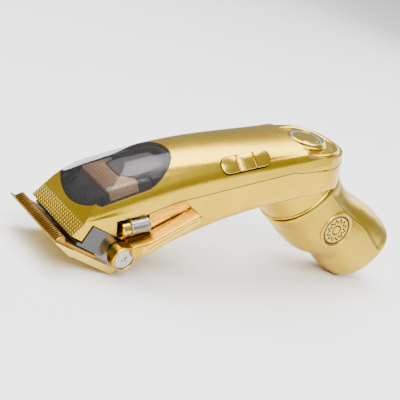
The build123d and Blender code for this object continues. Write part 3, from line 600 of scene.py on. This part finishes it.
@dataclass(frozen=True)
class Finishes:
    """Every finish of the clipper by its use."""

    shell: Finish = Finish("shell_gold", (0.66, 0.44, 0.022), (0.60, 0.38, 0.014), roughness=0.23, bump=0.08)
    trim: Finish = Finish("trim_gold", (0.76, 0.53, 0.06), (0.68, 0.45, 0.035), roughness=0.16, bump=0.08)
    # each TradeFinish's dark sets how much painted shade fills its pattern's low places
    nose: Finish = TradeFinish("nose_gold", (0.70, 0.48, 0.04), (0.60, 0.39, 0.03), roughness=0.2, size=420.0,
                               depth=0.6, dark=0.38)
    lever: Finish = Finish("lever_amber", (0.66, 0.40, 0.012), (0.55, 0.30, 0.006), roughness=0.24,
                           grain=Grain.BRUSHED, bump=0.35)
    blade: Finish = Finish("blade_pale_gold", (0.72, 0.51, 0.10), (0.62, 0.42, 0.06), roughness=0.28,
                           grain=Grain.BRUSHED, bump=0.22)
    bronze: Finish = Finish("blade_bronze", (0.42, 0.24, 0.045), (0.30, 0.15, 0.02), roughness=0.33,
                            grain=Grain.BRUSHED, bump=0.25)
    black: Finish = Finish("gloss_black", (0.012, 0.012, 0.012), (0.02, 0.02, 0.02), metallic=0.0,
                           roughness=0.14, bump=0.05, coat=0.6)
    seal: Finish = Finish("seal_black", (0.012, 0.012, 0.012), (0.022, 0.02, 0.018), metallic=0.0,
                          roughness=0.5, bump=0.05)
    deck: Finish = Finish("deck_charcoal", (0.040, 0.034, 0.030), (0.060, 0.052, 0.044), metallic=0.0,
                          roughness=0.42, bump=0.06)
    screw: Finish = Finish("screw_blackened", (0.06, 0.055, 0.05), (0.10, 0.09, 0.08), roughness=0.34,
                            bump=0.2)
    copper: Finish = TradeFinish("strap_copper", (0.98, 0.64, 0.38), (0.90, 0.55, 0.30), roughness=0.5,
                                 size=380.0, depth=0.35, dark=0.25)
    guard: Finish = Finish("guard_tan", (0.34, 0.30, 0.28), (0.24, 0.21, 0.20), metallic=0.0, roughness=0.3,
                           bump=0.2, coat=0.3)
    lens: Finish = ClearFinish("lens_smoke", (0.030, 0.029, 0.032), (0.022, 0.021, 0.023), metallic=0.0,
                               roughness=0.07, bump=0.02)
    bright: Finish = Finish("steel_bright", (0.52, 0.50, 0.47), (0.40, 0.38, 0.35), roughness=0.2,
                            grain=Grain.BRUSHED, bump=0.15)
    knurl: Finish = TradeFinish("steel_knurled", (0.72, 0.70, 0.66), (0.45, 0.43, 0.40), roughness=0.26,
                                size=620.0, depth=0.8, dark=0.8)
    line: Finish = Finish("line_dark", (0.10, 0.06, 0.01), (0.07, 0.04, 0.008), metallic=0.0, roughness=0.5,
                          bump=0.1)
    steel: Finish = Finish("steel_plain", (0.50, 0.50, 0.50), (0.38, 0.38, 0.38), roughness=0.34,
                           grain=Grain.BRUSHED, bump=0.2)
    light: Finish = Finish("ring_blue_grey", (0.12, 0.17, 0.22), (0.09, 0.13, 0.17), metallic=0.0,
                           roughness=0.32, bump=0.12, coat=0.3)
    grip: Finish = DashFinish("grip_gold", (0.64, 0.43, 0.022), (0.56, 0.36, 0.014), roughness=0.30,
                              bump=0.10)
    badge: Finish = RosetteFinish("badge_gold", (0.68, 0.47, 0.04), (0.58, 0.38, 0.025), roughness=0.28)
    winding: Finish = TradeFinish("winding_copper", (0.62, 0.30, 0.13), (0.45, 0.20, 0.08), roughness=0.3,
                                  size=700.0)
    bearing: Finish = Finish("bearing_bronze", (0.60, 0.43, 0.18), (0.46, 0.32, 0.12), roughness=0.4,
                             grain=Grain.PEBBLED, bump=0.3)
    magnet: Finish = Finish("magnet_grey", (0.16, 0.16, 0.17), (0.10, 0.10, 0.11), roughness=0.5,
                            grain=Grain.PEBBLED, bump=0.4)
    cell: Finish = Finish("cell_blue", (0.05, 0.12, 0.28), (0.03, 0.08, 0.20), metallic=0.0, roughness=0.32,
                          bump=0.1)
    board: Finish = Finish("board_green", (0.02, 0.15, 0.06), (0.015, 0.10, 0.04), metallic=0.0,
                           roughness=0.4, bump=0.15, coat=0.3)
    moulded: Finish = Finish("moulded_black", (0.025, 0.025, 0.025), (0.04, 0.04, 0.04), metallic=0.0,
                             roughness=0.5, grain=Grain.PEBBLED, bump=0.35)


FINISHES = Finishes()


def dress(node: str, finish: Finish) -> None:
    """Give a carried-over node a finish on every material slot and report it."""
    piece = frame["nodes"][node]
    if not piece.material_slots:
        piece.data.materials.append(finish.material())
    for one in piece.material_slots:
        one.material = finish.material()
    LOG.info("node %s wears %s", node, finish.name)


def fit(piece: bpy.types.Object, body: str, slot: str, finish: Finish, *replaced: str) -> bpy.types.Object:
    """Give a new piece its finish, its body and the nodes it stands for.

    Args:
        piece: the new object.
        body: body that it moves with.
        slot: not used.
        finish: the finish it wears.
        *replaced: nodes that it replaces.

    Returns:
        The same object.
    """
    piece.data.materials.append(finish.material())
    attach(piece, body)
    if replaced:
        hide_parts(*replaced)
    LOG.info("piece %s rides on %s in %s", piece.name, body, finish.name)
    return piece


# ---------------------------------------------------------------- casing
@dataclass
class Casing:
    """The metal shells, the window with its deck, and the lines and beads on them."""

    stations: np.ndarray = field(default_factory=lambda: np.array([2.0, 36.0, 63.0, 93.0, 132.0, 168.0]))
    halves: np.ndarray = field(default_factory=lambda: np.array([19.4, 19.6, 19.8, 19.8, 19.6, 19.4]))
    seam: np.ndarray = field(default_factory=lambda: np.array(
        [(15.0, 0.6), (17.9, 0.6), (25.0, -3.1), (34.5, -1.9), (50.0, 1.5), (61.4, 3.5), (92.8, 3.9),
         (127.0, 4.1), (131.0, 2.9), (150.0, 0.6), (165.4, -0.2)]))

    def half_at(self, x: np.ndarray) -> np.ndarray:
        """Half width of the body at x: the stations, cut by the rounded rear end."""
        rear = np.where(x > 143.5, 19.9 * np.sqrt(np.clip(1 - ((x - 143.5) / 22.0)**2, 0, 1)), 99.0)
        return np.minimum(np.interp(x, self.stations, self.halves), rear)

    def seam_line(self) -> None:
        """Dark line where the two shells meet, from one side round the rear to the other.

        The path goes along x at the half width, and along an ellipse round the rear.
        """
        x = np.concatenate([np.linspace(41.5, 143.0, 90), 143.5 + 21.95 * np.sin(np.linspace(0, pi / 2, 40))])
        round_end = 19.85 * np.cos(np.arcsin(np.clip((x - 143.5) / 22.0, 0, 1)))
        side = np.where(x > 143.5, round_end, self.half_at(x) - 0.05)
        z = np.interp(x, self.seam[:, 0], self.seam[:, 1])
        near = np.stack([x, -side, z], axis=1)
        path = np.concatenate([near, (near * [1, -1, 1])[::-1][1:]])
        fit(solid("seam_line", [tube(path, 0.26, around=8)]), "housing", "gasket_black", FINISHES.line)

    def collar_bead(self) -> None:
        """Rolled flange round the foot of the neck, an ellipse carried round the collar."""
        a = np.linspace(0, 2 * pi, 120, endpoint=False)
        path = COLLAR.at(21.3 * np.cos(a), 17.3 * np.sin(a), -0.85 + 0 * a)
        bead = tube(path, 0.75, 0.6, closed=True, up=COLLAR.z)
        fit(solid("collar_bead", [bead]), "housing", "gold_trim", FINISHES.trim)

    def pad_lip(self) -> None:
        """Rolled lip round the near, far and rear edge of the button's pad.

        A half ellipse in plan that drops along the pad's slope, thinner at its two ends.
        """
        a = np.linspace(-0.62 * pi, 0.62 * pi, 90)
        u, v = -1.5 + 17.6 * np.cos(a), 15.9 * np.sin(a) * (1 + 0.06 * np.cos(a))
        path = BUTTON.at(u, v, -1.35 - 0.5 * step(6, 17, u))
        taper = 1.7 * step(0, 0.18, np.linspace(0, 1, 90)) * step(0, 0.18, np.linspace(1, 0, 90)) + 0.25
        lip = tube(path, 1.5 * taper / 1.7, taper * 0.62)
        fit(solid("pad_lip", [lip]), "housing", "gold_shell", FINISHES.shell)

    def lever_ledge(self) -> None:
        """Raised curved ledge on the near side under the seam, which the lever swings along."""
        t = np.linspace(0, 1, 60)
        x = 40.0 + 31.0 * t
        z = -4.6 + 5.2 * t - 2.2 * t * t - 3.0 * step(0.86, 1.0, t)
        path = np.stack([x, -(self.half_at(x) - 0.15), z], axis=1)
        taper = step(0, 0.12, t) * step(0, 0.10, 1 - t) + 0.12
        ledge = tube(path, 0.42 * taper, 0.5 * taper)
        fit(solid("lever_ledge", [ledge]), "housing", "gold_shell", FINISHES.trim)

    def window(self) -> None:
        """Dress the lens, its seal and the deck behind it."""
        for node, finish in (("window_lens", FINISHES.lens), ("window_gasket", FINISHES.seal),
                             ("motor_deck", FINISHES.deck), ("deck_screws", FINISHES.screw),
                             ("copper_strap", FINISHES.copper),
                             ("sensor_guard", FINISHES.guard)):
            dress(node, finish)

    def build(self) -> None:
        """Make and dress the whole casing."""
        for node, finish in (("upper_shell", FINISHES.shell), ("lower_shell", FINISHES.shell),
                             ("nose_plate", FINISHES.nose), ("housing_screws", FINISHES.screw),
                             ("charge_socket", FINISHES.moulded)):
            dress(node, finish)
        self.window()
        self.seam_line()
        self.collar_bead()
        self.pad_lip()
        self.lever_ledge()


# ---------------------------------------------------------------- blades
@dataclass
class BladeEnd:
    """The fixed and moving blades and what holds them."""

    half: float = 20.5
    teeth_pitch: float = 1.5
    groove: float = 0.72
    grooves: int = 27

    def moving_blade(self) -> None:
        """Toothed moving blade: a height over a grid of along and across.

        The height follows the ridge's profile along the blade. Inside each groove it drops
        to the tooth gap's floor, and near the ends a long shallow slot is sunk.
        """
        centres = (np.arange(self.grooves) - (self.grooves - 1) / 2) * self.teeth_pitch
        half = self.groove / 2
        lines = (centres[:, None] + np.array([-half - 0.02, -half, half, half + 0.02])).ravel()
        slot = np.array([17.3, 17.33, 18.4, 18.43])
        ends = np.array([self.half - 0.25, self.half])
        across = np.sort(np.concatenate([-ends, ends, slot, -slot, lines]))
        along = np.array([1.0, 1.01, 1.6, 2.2, 2.8, 3.1, 3.6, 4.2, 4.5, 4.9, 5.3, 5.65, 6.5, 7.4, 7.45, 8.5,
                          9.5, 9.53, 14.0, 20.0, 20.03, 24.6, 24.99, 25.0])
        top = np.interp(along, [1.0, 1.01, 1.6, 2.2, 2.8, 3.1, 4.2, 4.5, 5.65, 24.6, 25.0],
                        [0.05, 0.55, 1.5, 2.35, 2.95, 3.1, 3.1, 2.95, 1.6, 1.6, 1.35])
        inside = np.any(np.abs(across[:, None] - centres[None, :]) <= half + 0.005, axis=1)
        s, y = np.meshgrid(along, across, indexing="ij")
        high = np.broadcast_to(top[:, None], s.shape).copy()
        cut = inside[None, :] & (s <= 7.42) & (s > 1.005)
        high = np.where(cut, np.where(s < 3.85, 0.12, 0.7), high)
        sunk = (np.abs(y) > 17.31) & (np.abs(y) < 18.42) & (s > 9.51) & (s < 20.01)
        high = np.where(sunk, high - 0.75, high)
        high = np.where((np.abs(y) >= self.half - 0.01), np.minimum(high, 0.05 + 0.75 * high), high)
        upper = BLADE.at(s, y, high)
        lower = BLADE.at(s, y, 0.03 + 0 * s)
        ring = np.stack([upper, lower])
        rim = [ring[:, 0, :], ring[:, -1, :], ring[:, :, 0], ring[:, :, -1]]
        patches = [Patch(upper, wrap_columns=False, caps=False), Patch(lower, wrap_columns=False, caps=False)]
        patches += [Patch(edge, wrap_columns=False, caps=False) for edge in rim]
        blade = solid("moving_blade_toothed", patches, sharp=25.0)
        fit(blade, "moving_blade", "blade_bronze", FINISHES.bronze, "moving_blade")

    def build(self) -> None:
        """Make the moving blade and dress the rest."""
        self.moving_blade()
        for node, finish in (("fixed_blade", FINISHES.blade), ("blade_screws", FINISHES.screw),
                             ("blade_bracket", FINISHES.steel), ("drive_yoke", FINISHES.moulded),
                             ("blade_carriage", FINISHES.black), ("tension_spring", FINISHES.steel),
                             ("chassis", FINISHES.moulded)):
            dress(node, finish)


# ---------------------------------------------------------------- taper control
@dataclass
class TaperControl:
    """The side lever with its barrel and screw, and the detent beside it."""

    axis: tuple[float, float] = (31.75, -15.05)
    inner: float = 20.4
    outer: float = 28.0
    barrel: float = 5.8

    def lever(self) -> None:
        """Lever arm: its side outline raised from the inner to the outer face, rims rounded."""
        outline = smoothed([(69.2, -0.7), (43.4, -8.6), (34.5, -8.9), (35.0, -15.0), (43.8, -14.7),
                            (69.2, -5.4), (70.2, -4.0), (70.2, -1.6)], 1.4)
        area = np.sum(outline[:, 0] * np.roll(outline[:, 1], -1) - outline[:, 1] * np.roll(outline[:, 0], -1))
        outline = outline[::-1] if area < 0 else outline
        arm = slab(SIDE, outline, self.inner, self.outer, 0.7, 0.5)
        r = self.barrel
        barrel = revolved(SIDE, [1.5, r - 0.5, r, r, r - 0.35, 5.0, 4.8, 4.8, 1.5],
                          [self.inner, self.inner, self.inner + 0.5, 26.2, 26.6, 26.6, 26.4, 24.65, 24.6],
                          centre=self.axis)
        pin = revolved(SIDE, [0.0, 0.9, 0.9, 0.0], [17.4, 17.4, self.inner, self.inner], 24,
                       (34.4 * cos(PITCH) + 9.39 * sin(PITCH), 9.39 * cos(PITCH) - 34.4 * sin(PITCH)))
        lever = solid("taper_lever_arm", [arm, barrel, pin])
        fit(lever, "taper_lever", "lever_gold", FINISHES.lever, "taper_lever")
        # Dark liner over the wall and floor of the barrel's cup round the screw: painted shade in the hollow.
        shade_liner = revolved(SIDE, [3.0, 4.79, 4.79, 4.62, 4.55, 3.0], [24.5, 24.5, 26.45, 26.45, 24.62, 24.62],
                        centre=self.axis)
        fit(solid("barrel_cup_painted_shade", [shade_liner]), "taper_lever", "gasket_black", FINISHES.line)

    def face(self) -> None:
        """Pale plate on the lever's outer face, with a thin dark line along its middle."""
        outline = smoothed([(68.4, -1.7), (43.6, -9.8), (39.5, -10.2), (39.8, -13.8), (43.7, -13.7),
                            (68.6, -4.6), (69.3, -3.8), (69.3, -1.9)], 1.0)
        area = np.sum(outline[:, 0] * np.roll(outline[:, 1], -1) - outline[:, 1] * np.roll(outline[:, 0], -1))
        outline = outline[::-1] if area < 0 else outline
        plate = slab(SIDE, outline, 27.7, 28.06, 0.05)
        fit(solid("lever_face_plate", [plate]), "taper_lever", "gold_trim", FINISHES.trim)
        t = np.linspace(0, 1, 30)
        line = np.stack([42.5 + 25.0 * t, -28.02 + 0 * t, -11.8 + 8.7 * t], axis=1)
        fit(solid("lever_face_line", [tube(line, 0.22, 0.08, around=8, up=(0, 1, 0))]), "taper_lever",
            "gasket_black", FINISHES.seal)

    def detent(self) -> None:
        """Detent stem and its patterned sleeve: turned profiles along the body."""
        stem = revolved(STEM, [0, 2.7, 3.1, 3.1, 2.6, 1.5, 1.5, 0],
                        [32.6, 32.6, 33.0, 36.3, 36.8, 36.8, 47.2, 47.2], 48)
        fit(solid("detent_stem_turned", [stem]), "housing", "gold_trim", FINISHES.trim, "detent_stem")
        sleeve = revolved(STEM, [1.5, 3.3, 3.7, 3.7, 3.45, 3.45, 3.7, 3.7, 3.3, 1.5],
                          [36.85, 36.85, 37.2, 38.2, 38.4, 44.4, 44.6, 45.7, 46.15, 46.15], 48)
        turned_sleeve = solid("detent_sleeve_turned", [sleeve])
        fit(turned_sleeve, "housing", "steel_bright", FINISHES.knurl, "detent_sleeve")

    def build(self) -> None:
        """Make and dress the taper control."""
        self.lever()
        self.face()
        self.detent()
        dress("lever_screw", FINISHES.bright)
        dress("lever_shaft", FINISHES.steel)


# ---------------------------------------------------------------- controls
@dataclass
class Controls:
    """Power button with its lit ring, speed rocker and release button."""

    rocker_length: float = 27.0
    rocker_width: float = 8.0

    def power(self) -> None:
        """Bezel, ring light and cap as turned profiles with rounded rims."""
        bezel = revolved(BUTTON, [8.6, 10.3, 10.6, 10.35, 9.9, 9.7, 9.6, 9.2, 8.75, 8.6],
                         [-1.2, -1.2, -0.9, -0.35, -0.15, 0.3, 1.05, 1.38, 1.4, 1.2], 96)
        fit(solid("bezel_turned", [bezel]), "housing", "gold_trim", FINISHES.trim, "button_bezel")
        ring = revolved(BUTTON, [6.9, 8.45, 8.45, 8.2, 7.7, 7.15, 6.9],
                        [-2.6, -2.6, 0.6, 0.92, 1.0, 0.9, 0.6], 96)
        fit(solid("ring_light_turned", [ring]), "housing", "ring_grey", FINISHES.light, "ring_light")
        cap = revolved(BUTTON, [0, 1.5, 1.5, 6.5, 6.6, 6.6, 6.35, 5.9, 4.5, 3.0, 1.5, 0],
                       [-2.2, -2.2, -1.4, -1.4, -1.3, 0.75, 1.08, 1.16, 1.10, 1.02, 0.98, 0.96], 96)
        fit(solid("power_button_cap", [cap]), "power_button", "gold_trim", FINISHES.trim, "power_button")

    def rocker(self) -> None:
        """Obround rocker with a rounded rim, split in three by two grooves."""
        whole = obround(self.rocker_length, self.rocker_width)
        base = slab(ROCKER, obround(self.rocker_length - 0.4, self.rocker_width - 0.4), -2.2, 0.1, 0.1)
        parts = [base]
        for low, high in ((-13.5, -4.85), (-4.15, 4.15), (4.85, 13.5)):
            band = np.stack([np.clip(whole[:, 0], low, high), whole[:, 1]], axis=1)
            keep = np.r_[True, np.linalg.norm(np.diff(band, axis=0), axis=1) > 0.02]
            parts.append(slab(ROCKER, smoothed(band[keep], 0.25, 3), 0.0, 0.7, 0.35))
        ear = revolved(Axes(ROCKER.origin, ROCKER.x, (0, cos(FLANK), sin(FLANK))), [1.05, 1.8, 1.8, 1.05],
                       [-2.0, -2.0, 2.0, 2.0], 32, (0.0, 3.2))
        pad = solid("speed_rocker_pad", parts + [ear])
        fit(pad, "speed_rocker", "gold_trim", FINISHES.trim, "speed_rocker")

    def build(self) -> None:
        """Make and dress the controls."""
        self.power()
        self.rocker()
        for node, finish in (("switch_body", FINISHES.moulded), ("switch_board", FINISHES.board),
                             ("rocker_pin", FINISHES.steel), ("release_button", FINISHES.bright),
                             ("button_spring", FINISHES.steel)):
            dress(node, finish)


# ---------------------------------------------------------------- drive
@dataclass
class Drive:
    """Motor, rotor, cell and board inside the body."""

    def build(self) -> None:
        """Dress every inner node."""
        for node, finish in (("motor_can", FINISHES.steel), ("motor_coil", FINISHES.winding),
                             ("front_bearing", FINISHES.bearing), ("rear_bearing", FINISHES.bearing),
                             ("rotor_shaft", FINISHES.steel), ("rotor_magnet", FINISHES.magnet),
                             ("eccentric_hub", FINISHES.bearing), ("battery_cell", FINISHES.cell),
                             ("main_board", FINISHES.board)):
            dress(node, finish)


# ---------------------------------------------------------------- grip
@dataclass
class Grip:
    """Pistol grip: two half shells with finger scallops, a dashed panel and a badge each."""

    below: tuple[float, ...] = (0.5, 8.3, 15.7, 22.0, 28.5, 35.0, 41.0, 46.5, 52.0, 58.0, 62.0, 65.5, 67.5)
    front: tuple[float, ...] = (-21.7, -20.9, -20.5, -19.6, -18.1, -14.6, -11.2, -10.7, -10.1, -9.0, -7.7,
                                -6.0, -3.6)
    back: tuple[float, ...] = (21.5, 20.9, 20.7, 21.5, 23.4, 26.0, 27.9, 29.6, 30.5, 31.5, 31.7, 31.0, 29.2)
    half: tuple[float, ...] = (17.6, 17.5, 17.4, 17.25, 17.0, 16.8, 16.6, 16.4, 16.2, 15.7, 15.2, 14.2, 12.4)
    wall: float = 2.2

    def outer(self, d: np.ndarray, a: np.ndarray, side: int) -> tuple[np.ndarray, np.ndarray]:
        """Outer surface across the collar and sideways at depth d and angle a.

        A superellipse of power 2.35 between the front and back lines. The sides are dished
        behind the finger line, and the halves dip a little where they meet.
        """
        front, back = eased(self.below, self.front, d), eased(self.below, self.back, d)
        middle, deep = (front + back) / 2, (back - front) / 2
        power = 2 / 2.35
        u = middle - deep * np.sign(np.cos(a)) * np.abs(np.cos(a))**power
        v = eased(self.below, self.half, d) * np.abs(np.sin(a))**power
        relative = (u - middle) / deep
        behind = step(0.40, 0.52, relative - 0.12 * np.sin((d - 4) / 12))
        palm = behind * step(2.0, 9.0, d) * step(66.0, 58.0, d)
        seat = step(10.3, 9.7, np.hypot(u - 2.2, d - 24.3)) * np.maximum(v - 16.5, 0)
        v = v * (1 - 0.055 * palm) - self.scoops(u, d) - seat
        return u, side * (np.maximum(v, 0) + 0.06)

    def scoops(self, u: np.ndarray, d: np.ndarray) -> np.ndarray:
        """Depth of the two finger scoops, from 0 outside to 1 in the middle.

        Each is an ellipse in (u, d): 1 minus its squared radius, eased at the rim.
        """
        first = 1 - ((u + 23.5) / 12.5)**2 - ((d - 20.0) / 15.5)**2
        second = 1 - ((u + 15.0) / 13.0)**2 - ((d - 52.5) / 11.5)**2
        return step(0.0, 0.5, np.maximum(first, second))

    def half_shell(self, name: str, node: str, side: int) -> None:
        """One half shell: the outer sheet, the inner sheet and their rims, all from one grid.

        Args:
            name: name of the piece.
            node: node it stands for.
            side: -1 for the near half, 1 for the far half.
        """
        depth = np.concatenate([np.linspace(0.5, 62.0, 150),
                                62.0 + 5.5 * np.sin(np.linspace(0.1, pi / 2, 10))])
        angle = pi / 2 * (1 - np.cos(np.linspace(0, pi, 141)))
        d, a = np.meshgrid(depth, angle, indexing="ij")
        u, v = self.outer(d, a, side)
        seam = np.exp(-(np.minimum(a, pi - a) / 0.035)**2)
        middle = (eased(self.below, self.front, d) + eased(self.below, self.back, d)) / 2
        pull = 0.35 * seam
        lip = 0.5 * (1 - step(0.5, 1.3, d))
        u = u + (middle - u) / np.maximum(np.abs(middle - u), 1) * (pull + lip * 0.6)
        v = v * (1 - lip * 0.6 / 17.0)
        relative = (u - middle) / ((eased(self.below, self.back, d) - eased(self.below, self.front, d)) / 2)
        ring = np.hypot(u - 2.2, d - 24.3)
        panel = (step(-0.93, -0.90, relative) * step(0.40, 0.36, relative - 0.12 * np.sin((d - 4) / 12))
                 * step(2.5, 3.2, d) * step(64.5, 63.5, d) * step(10.3, 10.6, ring)
                 * step(0.04, 0.0, self.scoops(u, d)))
        inset = self.wall / np.array([20.0, 16.5])
        shell = COLLAR.at(u, -v, d)
        inner_u = middle + (u - middle) * (1 - inset[0])
        inner = COLLAR.at(inner_u, -v * (1 - inset[1]), np.minimum(d, 65.0))
        steps = np.hypot(np.diff(u, axis=1, prepend=u[:, :1]), np.diff(v, axis=1, prepend=v[:, :1]))
        place = np.stack([np.cumsum(steps, axis=1), d], axis=-1) / 50.0
        patches = [Patch(shell, wrap_columns=False, caps=False, uv=place, mask=panel),
                   Patch(inner, wrap_columns=False, caps=False)]
        patches += [Patch(np.stack([shell[:, c], inner[:, c]]), wrap_columns=False, caps=False)
                    for c in (0, -1)]
        patches += [Patch(np.stack([shell[0], inner[0]]), wrap_columns=False, caps=False)]
        for sheet, end in ((shell, 67.5), (inner, 65.0)):
            across = np.linspace(1, 0, 141) * u[-1, -1] + np.linspace(0, 1, 141) * u[-1, 0]
            spine = COLLAR.at(across, 0.0, end)[::-1]
            patches.append(Patch(np.stack([sheet[-1], spine]), wrap_columns=False, caps=False))
        patches.append(Patch(np.stack([
            COLLAR.at(np.linspace(u[-1, 0], u[-1, -1], 141), 0.0, 67.5),
            COLLAR.at(np.linspace(u[-1, 0], u[-1, -1], 141), 0.0, 65.0)]), wrap_columns=False, caps=False))
        fit(solid(name, patches), "grip", "gold_shell", FINISHES.grip, node)

    def badge(self, name: str, node: str, side: int) -> None:
        """Round badge: a turned disc with a raised rim and a slightly domed middle."""
        axes = Axes(tuple(COLLAR.at(2.2, 0.0, 24.3)), COLLAR.x, (0, side, 0))
        disc = revolved(axes, [0, 9.5, 9.7, 9.7, 9.45, 9.0, 8.8, 8.3, 5.0, 0],
                        [15.9, 15.9, 16.1, 17.25, 17.5, 17.55, 17.3, 17.15, 17.2, 17.25], 96)
        fit(solid(name, [disc]), "grip", "badge_gold", FINISHES.badge, node)

    def build(self) -> None:
        """Make and dress the grip."""
        for name, side in (("left", -1), ("right", 1)):
            self.half_shell(f"grip_{name}_shaped", f"grip_{name}", side)
            self.badge(f"badge_{name}_turned", f"badge_{name}", side)
        dress("grip_socket", FINISHES.moulded)


# ---------------------------------------------------------------- studio
@dataclass
class Studio:
    """Pale floor, soft lights and the camera."""

    lens: float = 112.0
    position: tuple[float, float, float] = (-205.0, -418.87, 286.42)
    right: tuple[float, float, float] = (0.8454094, -0.52669419, 0.08874779)
    down: tuple[float, float, float] = (-0.20295394, -0.47046714, -0.85876095)
    ahead: tuple[float, float, float] = (0.49405733, 0.70799287, -0.504632)

    def floor(self) -> None:
        """Wide pale floor with a faint mottle."""
        reach = np.linspace(-3.0, 3.0, 9)
        x, y = np.meshgrid(reach, reach, indexing="ij")
        points = np.stack([x, y, np.full_like(x, -0.0005)], axis=-1).reshape(-1, 3)
        mesh = bpy.data.meshes.new("floor")
        sheet = Patch(points.reshape(9, 9, 3), wrap_columns=False, caps=False)
        mesh.from_pydata(points.tolist(), [], sheet.faces())
        piece = bpy.data.objects.new("floor", mesh)
        bpy.context.scene.collection.objects.link(piece)
        pale = Finish("floor_pale", (0.97, 0.97, 0.97), (0.95, 0.95, 0.95), metallic=0.0, roughness=0.7,
                      bump=0.0)
        mesh.materials.append(pale.material())

    def lamp(self, name: str, place: tuple[float, float, float], size: float, power: float) -> None:
        """Square soft light at a place, aimed at the middle of the clipper."""
        light = bpy.data.lights.new(name, "AREA")
        light.shape, light.size, light.energy = "SQUARE", size, power
        lamp = bpy.data.objects.new(name, light)
        away = np.array(place) - np.array([0.0, 0.0, 0.04])
        away /= np.linalg.norm(away)
        side = np.cross([0.0, 0.0, 1.0], away)
        side = side / np.linalg.norm(side) if np.linalg.norm(side) > 1e-6 else np.array([1.0, 0.0, 0.0])
        up = np.cross(away, side)
        lamp.matrix_world = Matrix([[side[i], up[i], away[i], place[i]] for i in range(3)] + [[0, 0, 0, 1]])
        bpy.context.scene.collection.objects.link(lamp)

    def world(self) -> None:
        """Even pale surroundings."""
        made = bpy.data.worlds.new("studio")
        made.use_nodes = True
        made.node_tree.nodes["Background"].inputs["Color"].default_value = (1.0, 0.99, 0.97, 1.0)
        made.node_tree.nodes["Background"].inputs["Strength"].default_value = 0.55
        bpy.context.scene.world = made

    def camera(self) -> None:
        """Camera from its place and directions in the level frame."""
        data = bpy.data.cameras.new("camera")
        data.lens, data.sensor_width, data.clip_start = self.lens, 36.0, 0.01
        camera = bpy.data.objects.new("camera", data)
        right, up, back = turned(self.right), -turned(self.down), -turned(self.ahead)
        place = placed(np.array(self.position))
        rows = [[right[i], up[i], back[i], place[i]] for i in range(3)]
        camera.matrix_world = Matrix(rows + [[0, 0, 0, 1]])
        bpy.context.scene.collection.objects.link(camera)
        bpy.context.scene.camera = camera

    def build(self) -> None:
        """Set the whole stage."""
        self.floor()
        self.lamp("key_soft", (-0.35, -0.55, 0.75), 0.6, 17.0)
        self.lamp("top_soft", (0.10, 0.25, 0.90), 0.8, 20.0)
        self.lamp("rear_soft", (0.75, 0.30, 0.35), 0.5, 3.0)
        self.world()
        self.camera()


def main() -> None:
    """Build every sub-assembly in order."""
    logging.basicConfig(level=logging.INFO, format="%(name)s: %(message)s")
    for assembly in (Casing(), BladeEnd(), TaperControl(), Controls(), Drive(), Grip(), Studio()):
        LOG.info("building %s", type(assembly).__name__)
        assembly.build()


if __name__ == "__main__":
    main()
